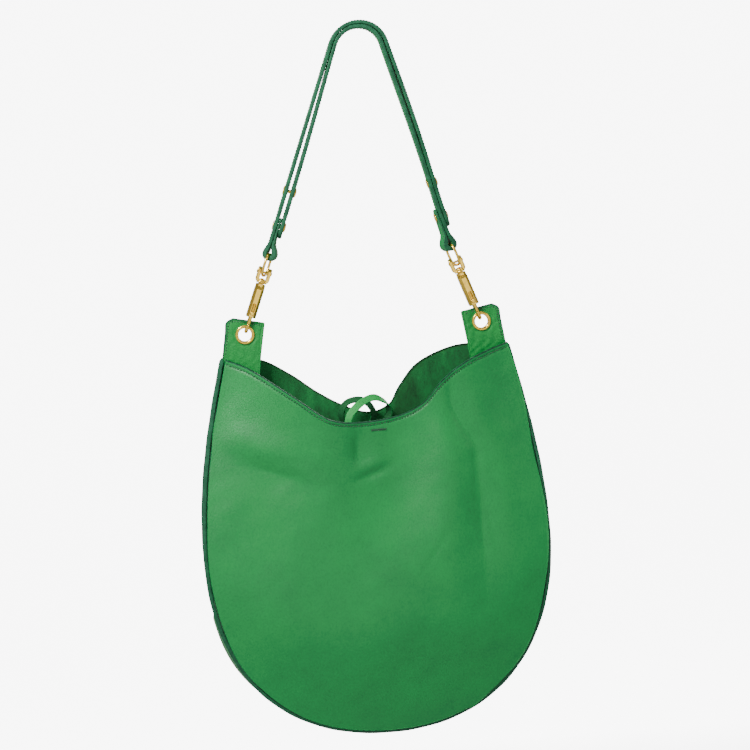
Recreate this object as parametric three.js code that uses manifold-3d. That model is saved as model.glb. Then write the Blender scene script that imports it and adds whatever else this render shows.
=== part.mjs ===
// Round-bottomed shoulder bag: two leather panels joined by a folding gusset, hung by two clips
// from a double leather strap. Millimetres, +Z up, +X to the bag's right, front facing -Y.
// The origin is the underside of the strap, where a hook or a shoulder carries the bag.

import * as THREE from 'three';
import { mergeVertices } from 'three/addons/utils/BufferGeometryUtils.js';
import Module from 'manifold-3d';

const wasm = await Module();
wasm.setup();

// Bag body
const cornerHalfWidth = 151;
const cornerHeight = -343;
const widestHalfWidth = 181.5;
const widestHeight = -546;
const bottomHeight = -746;
const cornerTangent = [17, 67];
const widestTangentUp = 70;
const widestTangentDown = 115;
const bottomTangent = 122;
const sidePart = 0.83;
const gussetWidth = 84;
const gussetThickness = 1.4;
const gussetSwell = 3;
const gussetOpenAt = 0.55;
const gussetTurnAt = 0.3;
const cornerHalfDepth = 2;
const tiedHalfGap = 15;
const mouthGape = 14;
const belly = 15;
const liningThickness = 0.8;
const panelThickness = 1.8;
const liningStart = 2.3;
const liningGap = 0.9;
const seamRadius = 1.2;
const seamOffset = 2.4;
const seamStandOut = 0.4;
const laceRadius = 1.8;

// Tabs and eyelets
const eyeletX = 127.8;
const eyeletHeight = -318.4;
const eyeletHoleRadius = 7.5;
const eyeletFlangeRadius = 11;
const eyeletFlange = 0.6;
const eyeletWall = 0.7;
const eyeletEnd = 0.4;
const washerPlay = 1;
const tabHoleRadius = 8.6;
const tabThickness = 2.4;
const foldHeight = -342.2;
const foldGap = 1.2;

// Clips, measured along their own axis from the eyelet's centre
const clipLean = THREE.MathUtils.degToRad(20.6);
const hookRadius = 5;
const hookWire = 3.6;
const hookCentre = 8.7;
const hookTip = 11.7;
const barrelBottom = 19.8;
const barrelTop = 57;
const barrelShoulder = 52;
const collarHalfDepth = 4.4;
const barrelWidth = 9.4;
const barrelFront = -8;
const barrelBack = 7.2;
const boreRadius = 2.2;
const boreTop = 50;
const boltRadius = 1.8;
const boltTop = 38;
const knobHeight = 24.3;
const knobRadius = 1.4;
const knobReach = 6;
const slotSize = [3.6, 6, 13];
const slotRise = 4.7;
const springRadii = [1.2, 1.9];
const rivetRadius = 1.5;
const rivetCollarRadius = 3.2;
const rivetCollar = 0.4;
const rivetHeadRadius = 2.6;
const rivetHead = 1.1;
const rivetHoleRadius = 1.8;
const stemHoleRadius = 1.9;
const yokeBottom = 58;
const yokeSeat = 61.5;
const yokePin = 69.9;
const yokeTop = 74.4;
const yokeHalfWidth = 7.5;
const yokeHalfGap = 3.9;
const yokeDepth = 8;
const yokeFoot = [2, 2.5];
const yokeEar = [1.5, 2];
const pinRadius = 1.3;
const pinShort = 0.1;
const gap = 0.3;

// Rings between clips and strap
const ringWire = 2.4;
const ringHalfWidth = 13.2;
const ringBottom = 66.4;
const ringTop = 90.2;
const ringCorner = 6.4;
const ringTurn = THREE.MathUtils.degToRad(15);
const loopAlongClip = 90.6;

// Strap
const strapWidth = 18;
const strapThickness = 3.4;
const tailThickness = 2.4;
const loopThickness = 3;
const loopRadius = 6;
const archRadius = 28;
const archCentreHeight = -22.8;
const strapLean = 9;
const leanStart = -205;
const leanPast = 1.15;
const strandGap = 0.5;
const strandSlack = 1.2;
const throatLength = 14;
const throatOpening = 0.62;
const tailLength = 40;
const tipStart = 18;
const stackLength = 78;
const studPositions = [31, 69];
const studHoleRadius = 2.4;
const studPostRadius = 2;
const studHeadRadius = 5.6;
const studCapRadius = 4.6;
const studHeadHeight = 1.9;
const studHeadTaper = 0.7;
const studCapHeight = 1.3;

// Colours
const leatherGreen = { color: 0x40a058, roughness: 0.5, metalness: 0 };
const gussetGreen = { color: 0x3a9650, roughness: 0.55, metalness: 0 };
const suedeGreen = { color: 0x18542c, roughness: 0.95, metalness: 0 };
const edgeGreen = { color: 0x1c5c40, roughness: 0.45, metalness: 0 };
const strapGreen = { color: 0x287855, roughness: 0.5, metalness: 0 };
const laceGreen = { color: 0x58b868, roughness: 0.55, metalness: 0 };
const gold = { color: 0xe6be5a, roughness: 0.2, metalness: 1 };
const steel = { color: 0xb0b0a8, roughness: 0.3, metalness: 1 };

const { lerp, smoothstep, clamp } = THREE.MathUtils;
const vector = (x, y, z) => new THREE.Vector3(x, y, z);
const bag = new THREE.Group();

// Helpers

function signedVolume(geometry) {
  const position = geometry.attributes.position;
  const index = geometry.index;
  const corner = [new THREE.Vector3(), new THREE.Vector3(), new THREE.Vector3()];
  let volume = 0;
  for (let i = 0; i < index.count; i += 3) {
    corner.forEach((point, k) => point.fromBufferAttribute(position, index.getX(i + k)));
    volume += corner[0].dot(corner[1].clone().cross(corner[2]));
  }
  return volume / 6;
}

// Joins the shared corners, drops the triangles that have no area and turns the faces outward.
function closed(geometry) {
  geometry.deleteAttribute('normal');
  geometry.deleteAttribute('uv');
  const merged = mergeVertices(geometry, 1e-3);
  const kept = [];
  for (let i = 0; i < merged.index.count; i += 3) {
    const [a, b, c] = [0, 1, 2].map((k) => merged.index.getX(i + k));
    if (a !== b && b !== c && c !== a) kept.push(a, b, c);
  }
  merged.setIndex(kept);
  if (signedVolume(merged) < 0) {
    merged.setIndex(kept.reverse());
  }
  return merged;
}

function toManifold(geometry) {
  const vertProperties = new Float32Array(geometry.attributes.position.array);
  const triVerts = new Uint32Array(geometry.index.array);
  return new wasm.Manifold(new wasm.Mesh({ numProp: 3, vertProperties, triVerts }));
}

function fromManifold(solid) {
  const mesh = solid.getMesh();
  const geometry = new THREE.BufferGeometry();
  geometry.setAttribute('position', new THREE.BufferAttribute(new Float32Array(mesh.vertProperties), 3));
  geometry.setIndex([...mesh.triVerts]);
  return closed(geometry);
}

function join(first, ...others) {
  return fromManifold(others.reduce((sum, part) => sum.add(toManifold(part)), toManifold(first)));
}

function cut(body, ...tools) {
  return fromManifold(tools.reduce((left, tool) => left.subtract(toManifold(tool)), toManifold(body)));
}

function add(name, geometry, look, parent = bag) {
  const mesh = new THREE.Mesh(geometry, new THREE.MeshStandardMaterial(look));
  mesh.name = name;
  parent.add(mesh);
  return mesh;
}

// A rod between two points.
function rod(from, to, radius, sides = 14) {
  const geometry = new THREE.CylinderGeometry(radius, radius, from.distanceTo(to), sides);
  const along = to.clone().sub(from).normalize();
  geometry.applyQuaternion(new THREE.Quaternion().setFromUnitVectors(vector(0, 1, 0), along));
  const middle = from.clone().add(to).multiplyScalar(0.5);
  return closed(geometry.translate(middle.x, middle.y, middle.z));
}

// An outline in the XZ plane, drawn as (x, z), given a thickness along Y.
function plateXZ(shape, thickness) {
  const options = { depth: thickness, bevelEnabled: false, curveSegments: 6 };
  const geometry = new THREE.ExtrudeGeometry(shape, options);
  return closed(geometry.rotateX(Math.PI / 2).translate(0, thickness / 2, 0));
}

// An outline in the YZ plane, drawn as (y, z), given a thickness along X.
function plateYZ(shape, thickness) {
  const options = { depth: thickness, bevelEnabled: false, curveSegments: 5 };
  const geometry = new THREE.ExtrudeGeometry(shape, options);
  const turn = new THREE.Matrix4().makeBasis(vector(0, 1, 0), vector(0, 0, 1), vector(1, 0, 0));
  return closed(geometry.applyMatrix4(turn).translate(-thickness / 2, 0, 0));
}

// A flat band that follows a line in a plane. place(a, b, w) puts the plane's point (a, b) in space,
// w across the band, and the band has its own thickness at each point of the line.
function band(line, thicknessAt, width, place) {
  const last = line.length - 1;
  const geometry = new THREE.BoxGeometry(last, 1, width, last, 1, 1);
  const position = geometry.attributes.position;
  for (let i = 0; i < position.count; i += 1) {
    const at = Math.round(position.getX(i) + last / 2);
    const along = line[Math.min(at + 1, last)].clone().sub(line[Math.max(at - 1, 0)]).normalize();
    const side = position.getY(i) * thicknessAt(at);
    const point = place(line[at].x - along.y * side, line[at].y + along.x * side, position.getZ(i));
    position.setXYZ(i, point.x, point.y, point.z);
  }
  return closed(geometry);
}

// A curved sheet: surface(u, v) is thickened along its normal from one offset to another.
function layer(surface, near, far, across, along) {
  const geometry = new THREE.BoxGeometry(1, 1, 1, across, 1, along);
  const position = geometry.attributes.position;
  const step = 1e-3;
  for (let i = 0; i < position.count; i += 1) {
    const u = position.getX(i) + 0.5;
    const v = position.getZ(i) + 0.5;
    const alongU = surface(Math.min(u + step, 1), v).sub(surface(Math.max(u - step, 0), v));
    const alongV = surface(u, Math.min(v + step, 1)).sub(surface(u, Math.max(v - step, 0)));
    const normal = alongV.cross(alongU).normalize();
    const point = surface(u, v).addScaledVector(normal, position.getY(i) > 0 ? far : near);
    position.setXYZ(i, point.x, point.y, point.z);
  }
  return closed(geometry);
}

function eased(x) {
  return smoothstep(x, 0, 1);
}

// Bag body

// Half of the panel's outline, from a mouth corner (0) round to the middle of the bottom (1).
const halfRim = new THREE.CurvePath();
halfRim.add(new THREE.CubicBezierCurve(
  new THREE.Vector2(cornerHalfWidth, cornerHeight),
  new THREE.Vector2(cornerHalfWidth + cornerTangent[0], cornerHeight - cornerTangent[1]),
  new THREE.Vector2(widestHalfWidth, widestHeight + widestTangentUp),
  new THREE.Vector2(widestHalfWidth, widestHeight)));
halfRim.add(new THREE.CubicBezierCurve(
  new THREE.Vector2(widestHalfWidth, widestHeight),
  new THREE.Vector2(widestHalfWidth, widestHeight - widestTangentDown),
  new THREE.Vector2(bottomTangent, bottomHeight),
  new THREE.Vector2(0, bottomHeight)));

// Half of the bag's depth at the seams, from the folded corners to the open gusset.
function seamHalfDepth(k) {
  return lerp(cornerHalfDepth, gussetWidth / 2, eased(k / gussetOpenAt));
}

// The mouth edges dip from corner to corner: each curve gives the drop at points across.
const frontMouth = new THREE.SplineCurve([
  [-151, 0], [-122, -13], [-81, -42], [-44, -69], [-8, -74], [30, -70], [58, -58],
  [80, -33], [104, -16], [129, -6], [151, 0],
].map(([x, z]) => new THREE.Vector2(x, z)));
const backMouth = new THREE.SplineCurve([
  [-151, 0], [-111, -5], [-80, -23], [-50, -46], [-5, -68], [24, -62], [40, -41],
  [60, -19], [93, -4], [120, 0], [151, 0],
].map(([x, z]) => new THREE.Vector2(x, z)));

// A panel runs from its mouth edge (v = 0) to the bottom seam (v = 1), s across from -1 to 1.
// Its sides take the first part of the outline, and its bottom edge the rest.
function panelPoint(mouth, s, v, front) {
  const side = halfRim.getPoint(v * sidePart);
  const bottomEnd = halfRim.getPoint(sidePart);
  const bottom = halfRim.getPoint(1 - Math.abs(s) * (1 - sidePart));
  const edge = mouth.getPoint((s + 1) / 2);
  const bottomX = Math.sign(s) * bottom.x;
  const x = s * side.x + (1 - v) * (edge.x - s * cornerHalfWidth) + v * (bottomX - s * bottomEnd.x);
  const z = side.y + (1 - v) * edge.y + v * (bottom.y - bottomEnd.y);
  const gape = (tiedHalfGap - cornerHalfDepth) * (1 - s * s) + mouthGape * Math.sin(Math.PI * s) ** 2;
  const swell = belly * (1 - s * s) * (1 - v ** 3);
  const depth = seamHalfDepth(v * sidePart) + lerp(gape, swell, eased(v / 0.5)) + liningStart;
  return new THREE.Vector3(x, front ? -depth : depth, z);
}

const panelStart = liningThickness + liningGap;
const panelSteps = [16, 12];
[['front', frontMouth], ['back', backMouth]].forEach(([name, mouth]) => {
  const front = name === 'front';
  const surface = (u, v) => panelPoint(mouth, front ? 2 * u - 1 : 1 - 2 * u, v, front);
  add(`${name}_panel`, layer(surface, panelStart, panelStart + panelThickness, ...panelSteps), leatherGreen);
  add(`${name}_lining`, layer(surface, 0, liningThickness, ...panelSteps), suedeGreen);
});

// The whole outline from the right corner (0) round the bottom to the left corner (1).
function rimPoint(u) {
  const half = halfRim.getPoint(1 - Math.abs(1 - 2 * u));
  return new THREE.Vector2(u < 0.5 ? half.x : -half.x, half.y);
}

function rimInward(u) {
  const step = 2e-3;
  const along = rimPoint(Math.min(u + step, 1)).sub(rimPoint(Math.max(u - step, 0))).normalize();
  return new THREE.Vector2(along.y, -along.x);
}

// The gusset is one band of leather. It is flat round the bottom and folds in half towards the top.
function gussetPoint(u, v) {
  const k = 1 - Math.abs(1 - 2 * u);
  const w = 2 * v - 1;
  const halfBand = gussetWidth / 2;
  const halfDepth = Math.min(seamHalfDepth(k), halfBand);
  const folded = Math.sqrt(halfBand ** 2 - halfDepth ** 2);
  const level = new THREE.Vector2(u < 0.5 ? -1 : 1, 0);
  const inward = rimInward(u).lerp(level, 1 - eased(k / gussetTurnAt)).normalize();
  const push = folded - gussetSwell * eased((k - gussetTurnAt) / gussetTurnAt);
  const rim = rimPoint(u).addScaledVector(inward, push * (1 - w * w));
  const y = halfDepth * lerp(w, w * (2 - Math.abs(w)), folded / halfBand);
  return new THREE.Vector3(rim.x, y, rim.y);
}
add('gusset', layer(gussetPoint, 0, gussetThickness, 36, 8), gussetGreen);

// The painted edges of panel and gusset stand out as one ridge along each seam.
['front', 'back'].forEach((name) => {
  const points = [];
  for (let i = 0; i <= 40; i += 1) {
    const u = i / 40;
    const depth = seamHalfDepth(1 - Math.abs(1 - 2 * u)) + liningStart + seamStandOut;
    const place = rimPoint(u).addScaledVector(rimInward(u), -seamOffset);
    points.push(new THREE.Vector3(place.x, name === 'front' ? -depth : depth, place.y));
  }
  const section = new THREE.Shape(new THREE.Path().absarc(0, 0, seamRadius, 0, 2 * Math.PI).getPoints(3));
  const path = new THREE.CatmullRomCurve3(points);
  const ridge = new THREE.ExtrudeGeometry(section, { extrudePath: path, steps: 48, bevelEnabled: false });
  add(`${name}_seam_edge`, closed(ridge), edgeGreen);
});

// A lace is stitched inside each panel under its bar tack, and the two are knotted over the mouth.
const laceRoutes = {
  front_lace: [[-14, -9, -440], [-22, -10, -426], [-21, -9, -412], [-8, -6, -399], [6, -1, -394],
    [17, 2, -399], [22, 2, -410], [18, 0, -424], [8, -2, -434]],
  back_lace: [[-2, 10, -438], [-20, 9, -428], [-29, 5, -412], [-23, 4, -399], [-9, 6, -396],
    [2, 9, -402], [7, 9, -414], [2, 7, -426]],
};
Object.entries(laceRoutes).forEach(([name, route]) => {
  const section = new THREE.Shape(new THREE.Path().absarc(0, 0, laceRadius, 0, 2 * Math.PI).getPoints(4));
  const path = new THREE.CatmullRomCurve3(route.map((point) => new THREE.Vector3(...point)));
  const lace = new THREE.ExtrudeGeometry(section, { extrudePath: path, steps: 26, bevelEnabled: false });
  add(name, closed(lace), laceGreen);
});

// Tabs, eyelets, clips and rings, the same on both sides

const tabHalf = tabThickness / 2;
const flangeStart = tabHalf + gap;
const flangeEnd = flangeStart + eyeletFlange;
const axis = new THREE.Vector2(-Math.sin(clipLean), Math.cos(clipLean));
const loopCentre = new THREE.Vector2(eyeletX, eyeletHeight).addScaledVector(axis, loopAlongClip);

function tab(sign) {
  const shape = new THREE.Shape();
  const foot = foldHeight + foldGap;
  const corners = [[111.5, foot], [153.5, foot], [148.5, -313], [140, -299.5], [105.5, -306]];
  const [innerFoot, outerFoot, outerTop, top, innerTop] = corners.map(([x, z]) => [sign * x, z]);
  shape.moveTo(...innerFoot);
  shape.lineTo(...outerFoot);
  shape.lineTo(...outerTop);
  shape.quadraticCurveTo(sign * 146.5, -301, ...top);
  shape.lineTo(...innerTop);
  shape.closePath();
  const at = (y) => vector(sign * eyeletX, y, eyeletHeight);
  const hole = rod(at(-tabThickness), at(tabThickness), tabHoleRadius, 20);
  return cut(plateXZ(shape, tabThickness), hole);
}

function lathe(profile, sides = 16) {
  const points = profile.map(([r, along]) => new THREE.Vector2(r, along));
  return new THREE.LatheGeometry(points, sides);
}

function eyeletFront() {
  const r = eyeletHoleRadius;
  const wall = r + eyeletWall;
  const end = flangeStart + eyeletEnd;
  return closed(lathe([[r, end], [r, -flangeEnd], [eyeletFlangeRadius, -flangeEnd],
    [eyeletFlangeRadius, -flangeStart], [wall, -flangeStart], [wall, end], [r, end]]));
}

function eyeletBack() {
  const r = eyeletHoleRadius + washerPlay;
  return closed(lathe([[r, flangeStart], [eyeletFlangeRadius, flangeStart], [eyeletFlangeRadius, flangeEnd],
    [r, flangeEnd], [r, flangeStart]]));
}

// The hook's body: a square barrel with a bore and a thumb slot, and a hook arm behind it.
function clipBody() {
  const profile = new THREE.Shape([[barrelFront, barrelBottom], [barrelBack, barrelBottom],
    [barrelBack, barrelShoulder], [collarHalfDepth, barrelTop], [-collarHalfDepth, barrelTop],
    [barrelFront, barrelShoulder]].map(([y, z]) => new THREE.Vector2(y, z)));
  const hookLine = [new THREE.Vector2(hookRadius, barrelBottom + 4)];
  for (let i = 0; i <= 12; i += 1) {
    const angle = -Math.PI * i / 12;
    hookLine.push(new THREE.Vector2(Math.cos(angle), Math.sin(angle)).multiplyScalar(hookRadius)
      .add(new THREE.Vector2(0, hookCentre)));
  }
  hookLine.push(new THREE.Vector2(-hookRadius, hookTip));
  const hook = band(hookLine, () => hookWire, hookWire, (y, z, w) => vector(w, y, z));
  const bore = rod(vector(0, -hookRadius, barrelBottom - 2), vector(0, -hookRadius, boreTop), boreRadius);
  const slotMiddle = vector(0, -hookRadius - slotSize[1] / 2, knobHeight + slotRise);
  const slot = closed(new THREE.BoxGeometry(...slotSize).translate(...slotMiddle));
  const rivetHole = rod(vector(0, 0, barrelTop - 4.5), vector(0, 0, barrelTop + 1), rivetHoleRadius, 12);
  return cut(join(plateYZ(profile, barrelWidth), hook), bore, slot, rivetHole);
}

function bolt() {
  const shaft = rod(vector(0, -hookRadius, hookTip + gap), vector(0, -hookRadius, boltTop), boltRadius, 12);
  const knobEnd = vector(0, -hookRadius - knobReach, knobHeight);
  const knob = rod(vector(0, -hookRadius, knobHeight), knobEnd, knobRadius, 10);
  return join(shaft, knob);
}

function spring() {
  const [low, high] = [boltTop + gap, boreTop - gap];
  const [inner, outer] = springRadii;
  return closed(lathe([[inner, low], [outer, low], [outer, high], [inner, high], [inner, low]], 10)
    .rotateX(Math.PI / 2).translate(0, -hookRadius, 0));
}

function rivet() {
  const [low, collar] = [barrelTop - 4, barrelTop + gap];
  const [head, top] = [yokeSeat + gap, yokeSeat + rivetHead];
  const profile = [[0, low], [rivetRadius, low], [rivetRadius, collar], [rivetCollarRadius, collar],
    [rivetCollarRadius, collar + rivetCollar], [rivetRadius, collar + rivetCollar],
    [rivetRadius, head], [rivetHeadRadius, head], [rivetHeadRadius, top], [0, top]];
  return closed(lathe(profile, 12).rotateX(Math.PI / 2));
}

function yoke() {
  const w = yokeHalfWidth;
  const g = yokeHalfGap;
  const right = [[w - yokeFoot[0], yokeBottom], [w, yokeBottom + yokeFoot[1]], [w, yokeTop - yokeEar[1]],
    [w - yokeEar[0], yokeTop], [g, yokeTop], [g, yokeSeat]];
  const left = right.map(([x, z]) => [-x, z]).reverse();
  const profile = new THREE.Shape([...right, ...left].map(([x, z]) => new THREE.Vector2(x, z)));
  const stemHole = rod(vector(0, 0, yokeBottom - 1), vector(0, 0, yokeSeat + 1), stemHoleRadius, 12);
  const pinHole = rod(vector(-w - 1, 0, yokePin), vector(w + 1, 0, yokePin), pinRadius + gap, 12);
  return cut(plateXZ(profile, yokeDepth), stemHole, pinHole);
}

function roundedRectangle(halfWidth, halfHeight, radius, shape) {
  shape.absarc(halfWidth - radius, halfHeight - radius, radius, 0, Math.PI / 2);
  shape.absarc(-halfWidth + radius, halfHeight - radius, radius, Math.PI / 2, Math.PI);
  shape.absarc(-halfWidth + radius, -halfHeight + radius, radius, Math.PI, 1.5 * Math.PI);
  shape.absarc(halfWidth - radius, -halfHeight + radius, radius, 1.5 * Math.PI, 2 * Math.PI);
  return shape;
}

function ring(sign) {
  const halfHeight = (ringTop - ringBottom + ringWire) / 2;
  const shape = roundedRectangle(ringHalfWidth, halfHeight, ringCorner, new THREE.Shape());
  const hole = new THREE.Path();
  roundedRectangle(ringHalfWidth - ringWire, halfHeight - ringWire, ringCorner - ringWire, hole);
  shape.holes.push(hole);
  const geometry = plateYZ(shape, ringWire).rotateZ(sign * ringTurn);
  return geometry.translate(0, 0, (ringTop + ringBottom) / 2);
}

[['left', -1], ['right', 1]].forEach(([side, sign]) => {
  add(`${side}_tab`, tab(sign), gussetGreen);
  const eyelet = new THREE.Group();
  eyelet.position.set(sign * eyeletX, 0, eyeletHeight);
  add(`${side}_eyelet_front`, eyeletFront(), gold, eyelet);
  add(`${side}_eyelet_back`, eyeletBack(), gold, eyelet);
  bag.add(eyelet);

  const clip = new THREE.Group();
  clip.position.copy(eyelet.position);
  clip.rotation.y = -sign * clipLean;
  add(`${side}_clip_body`, clipBody(), gold, clip);
  add(`${side}_clip_bolt`, bolt(), gold, clip);
  add(`${side}_clip_spring`, spring(), steel, clip);
  add(`${side}_clip_rivet`, rivet(), gold, clip);
  add(`${side}_yoke`, yoke(), gold, clip);
  const pinEnds = [-1, 1].map((end) => vector(end * (yokeHalfWidth - pinShort), 0, yokePin));
  add(`${side}_yoke_pin`, rod(...pinEnds, pinRadius, 10), gold, clip);
  add(`${side}_ring`, ring(sign), gold, clip);
  bag.add(clip);
});

// Strap: two strands laid on each other. Each is looped round the ring at one end, with its tail
// folded under, and is studded to the other strand at its free tip.

const toLoop = new THREE.Vector2(loopCentre.x, loopCentre.y - archCentreHeight);
const armTilt = Math.acos(archRadius / toLoop.length()) - Math.atan2(-toLoop.y, toLoop.x);
const armLength = Math.sqrt(toLoop.lengthSq() - archRadius ** 2);
const arcLength = archRadius * (Math.PI - 2 * armTilt);
const lineLength = 2 * armLength + arcLength;

// The strap's middle line, from the left loop's centre to the right one's, moved out by an offset.
function archPoint(distance, offset) {
  const fromEnd = Math.min(distance, lineLength - distance);
  const right = distance > lineLength / 2 ? 1 : -1;
  const point = new THREE.Vector2();
  if (fromEnd < armLength) {
    const outward = new THREE.Vector2(Math.cos(armTilt), Math.sin(armTilt)).multiplyScalar(offset);
    const along = new THREE.Vector2(-Math.sin(armTilt), Math.cos(armTilt)).multiplyScalar(fromEnd);
    point.copy(loopCentre).add(along).add(outward);
  } else {
    const angle = armTilt + (fromEnd - armLength) / archRadius;
    point.set(Math.cos(angle), Math.sin(angle)).multiplyScalar(archRadius + offset);
    point.y += archCentreHeight;
  }
  const rise = (point.y - leanStart) / (archCentreHeight - leanStart);
  point.x = right * point.x + strapLean * clamp(rise, 0, leanPast);
  return point;
}

// Offsets of a strand from the middle line at the left stack, the apex and the right stack.
const stackOffset = (strapThickness + strandGap) / 2;
const underTail = -(tailThickness + 1.5 * strandGap + strapThickness / 2);
const strands = {
  outer_strap: {
    left: stackOffset,
    right: stackOffset + strapThickness + strandGap,
    top: stackOffset,
    loop: -1,
  },
  inner_strap: {
    left: underTail,
    right: stackOffset,
    top: -stackOffset,
    loop: 1,
  },
};

function strandOffset(strand, distance) {
  const half = lineLength / 2;
  const pastStack = Math.min(distance, lineLength - distance) - stackLength;
  const toApex = clamp(pastStack / (half - stackLength), 0, 1);
  const end = distance < half ? strand.left : strand.right;
  const slack = strand.loop < 0 && distance > half ? strandSlack * Math.sin(Math.PI * toApex) : 0;
  return lerp(end, strand.top, eased(toApex)) + slack;
}

// Points in order from the strand's tip, over the arch, round its ring and back up the tail.
function strandLine(strand) {
  const line = [];
  const thickness = [];
  const place = (fromLoop) => (strand.loop < 0 ? fromLoop : lineLength - fromLoop);
  const put = (fromLoop, offset, thick) => {
    line.push(archPoint(place(fromLoop), offset));
    thickness.push(thick);
  };
  const steps = 46;
  for (let i = 0; i <= steps; i += 1) {
    const fromLoop = lerp(lineLength - tipStart, throatLength, i / steps);
    put(fromLoop, strandOffset(strand, place(fromLoop)), strapThickness);
  }
  put(throatLength / 2, lerp(stackOffset, loopRadius, throatOpening), loopThickness);
  for (let i = 0; i <= 8; i += 1) {
    const angle = -Math.PI * i / 8;
    const outward = loopRadius * Math.cos(angle);
    const along = loopRadius * Math.sin(angle);
    put(along, outward, loopThickness);
  }
  const tailOffset = -(tailThickness + strandGap) / 2;
  put(throatLength / 2, lerp(tailOffset, -loopRadius, throatOpening), loopThickness);
  put(throatLength, tailOffset, tailThickness);
  put((throatLength + tailLength) / 2, tailOffset, tailThickness);
  put(tailLength, tailOffset, tailThickness);
  return { line, thickness };
}

// Each stud is a post with a domed head and a flat cap, through every strand in the stack.
function studFrame(side, position) {
  const distance = side < 0 ? position : lineLength - position;
  const base = archPoint(distance, 0);
  const outward = archPoint(distance, 1).sub(base);
  return (offset) => vector(base.x + outward.x * offset, 0, base.y + outward.y * offset);
}

function studCutters() {
  return [-1, 1].flatMap((side) => studPositions.map((position) => {
    const at = studFrame(side, position);
    return rod(at(-12), at(12), studHoleRadius, 12);
  }));
}

Object.entries(strands).forEach(([name, ends]) => {
  const { line, thickness } = strandLine(ends);
  const strand = band(line, (i) => thickness[i], strapWidth, (x, z, w) => vector(x, w, z));
  add(name, cut(strand, ...studCutters()), strapGreen);
});

const clearFace = strapThickness / 2 + gap;
[['left', -1], ['right', 1]].forEach(([side, sign]) => {
  studPositions.forEach((position, i) => {
    const at = studFrame(sign, position);
    const underTailFace = -(tailThickness + strandGap / 2);
    const underside = position > tailLength ? strandGap / 2 : underTailFace;
    const left = sign < 0;
    const headFace = left ? strands.inner_strap.left - clearFace : strands.outer_strap.right + clearFace;
    const capFace = left ? strands.outer_strap.left + clearFace : underside - gap;
    const out = Math.sign(headFace - capFace);
    const capEnd = capFace - out * studCapHeight;
    const post = rod(at(capEnd), at(headFace + out * 0.2), studPostRadius, 12);
    const taper = studHeadRadius * studHeadTaper;
    const head = new THREE.CylinderGeometry(taper, studHeadRadius, studHeadHeight, 16);
    const away = at(headFace + out).sub(at(headFace)).normalize();
    const turn = new THREE.Quaternion().setFromUnitVectors(vector(0, 1, 0), away);
    const middle = at(headFace + out * studHeadHeight / 2);
    const dome = closed(head.applyQuaternion(turn).translate(middle.x, middle.y, middle.z));
    const level = i === 0 ? 'lower' : 'upper';
    add(`${side}_${level}_stud`, join(dome, post), gold);
    const capDisc = rod(at(capEnd), at(capFace), studCapRadius, 16);
    const capHole = rod(at(capEnd - out), at(capFace + out), studHoleRadius, 12);
    add(`${side}_${level}_stud_cap`, cut(capDisc, capHole), gold);
  });
});

export default bag;
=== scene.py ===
import bpy
import math
import numpy as np
from mathutils import Matrix, Vector


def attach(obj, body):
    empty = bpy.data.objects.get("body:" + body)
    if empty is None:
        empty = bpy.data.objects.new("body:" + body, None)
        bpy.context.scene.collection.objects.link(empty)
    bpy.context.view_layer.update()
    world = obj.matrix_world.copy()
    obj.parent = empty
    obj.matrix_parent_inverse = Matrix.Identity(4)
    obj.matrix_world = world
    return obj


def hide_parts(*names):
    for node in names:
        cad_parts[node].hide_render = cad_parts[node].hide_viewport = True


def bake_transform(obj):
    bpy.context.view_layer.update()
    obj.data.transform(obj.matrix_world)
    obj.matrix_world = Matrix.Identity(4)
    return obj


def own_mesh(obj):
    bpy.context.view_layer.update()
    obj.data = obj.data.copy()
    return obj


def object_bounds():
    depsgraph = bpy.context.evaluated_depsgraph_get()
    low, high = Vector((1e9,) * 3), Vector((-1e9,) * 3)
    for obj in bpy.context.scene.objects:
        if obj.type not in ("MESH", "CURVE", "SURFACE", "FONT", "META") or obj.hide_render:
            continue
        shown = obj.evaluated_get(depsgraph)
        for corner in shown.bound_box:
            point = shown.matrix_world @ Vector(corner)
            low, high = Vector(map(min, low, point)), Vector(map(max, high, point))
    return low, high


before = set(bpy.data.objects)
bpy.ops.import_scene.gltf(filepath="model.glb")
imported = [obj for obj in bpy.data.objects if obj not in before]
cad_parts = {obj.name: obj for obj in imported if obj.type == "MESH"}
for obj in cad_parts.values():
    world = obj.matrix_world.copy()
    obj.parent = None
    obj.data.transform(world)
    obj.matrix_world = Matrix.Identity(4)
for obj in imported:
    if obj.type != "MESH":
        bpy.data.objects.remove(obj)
cadLow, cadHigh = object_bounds()

mm = 0.001
# lengths below are in millimetres until makePiece, which turns them into metres


def smoothStep(x):
    x = np.clip(x, 0, 1)
    return x * x * (3 - 2 * x)


def mixValue(a, b, t):
    return a + (b - a) * t


def unit(v):
    return v / np.maximum(np.linalg.norm(v, axis=-1, keepdims=True), 1e-9)


def bump(x, middle, width):
    return np.exp(-((x - middle) / width) ** 2)


def catmull(points, t):
    # a smooth line through given points, t from 0 to 1 along them
    p = np.asarray(points, float)
    p = np.vstack([2 * p[0] - p[1], p, 2 * p[-1] - p[-2]])
    place = np.clip(np.asarray(t, float), 0, 1) * (len(p) - 3)
    i = np.minimum(place.astype(int), len(p) - 4)
    f = (place - i)[..., None]
    a, b, c, d = p[i], p[i + 1], p[i + 2], p[i + 3]
    return 0.5 * (2 * b + (c - a) * f + (2 * a - 5 * b + 4 * c - d) * f ** 2
                  + (3 * b - a - 3 * c + d) * f ** 3)


def evenly(points, step):
    # the same line with points at equal distances
    p = np.asarray(points, float)
    run = np.concatenate([[0], np.cumsum(np.linalg.norm(np.diff(p, axis=0), axis=1))])
    want = np.linspace(0, run[-1], max(int(run[-1] / step), 4) + 1)
    return np.stack([np.interp(want, run, p[:, i]) for i in range(p.shape[1])], 1), want


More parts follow.
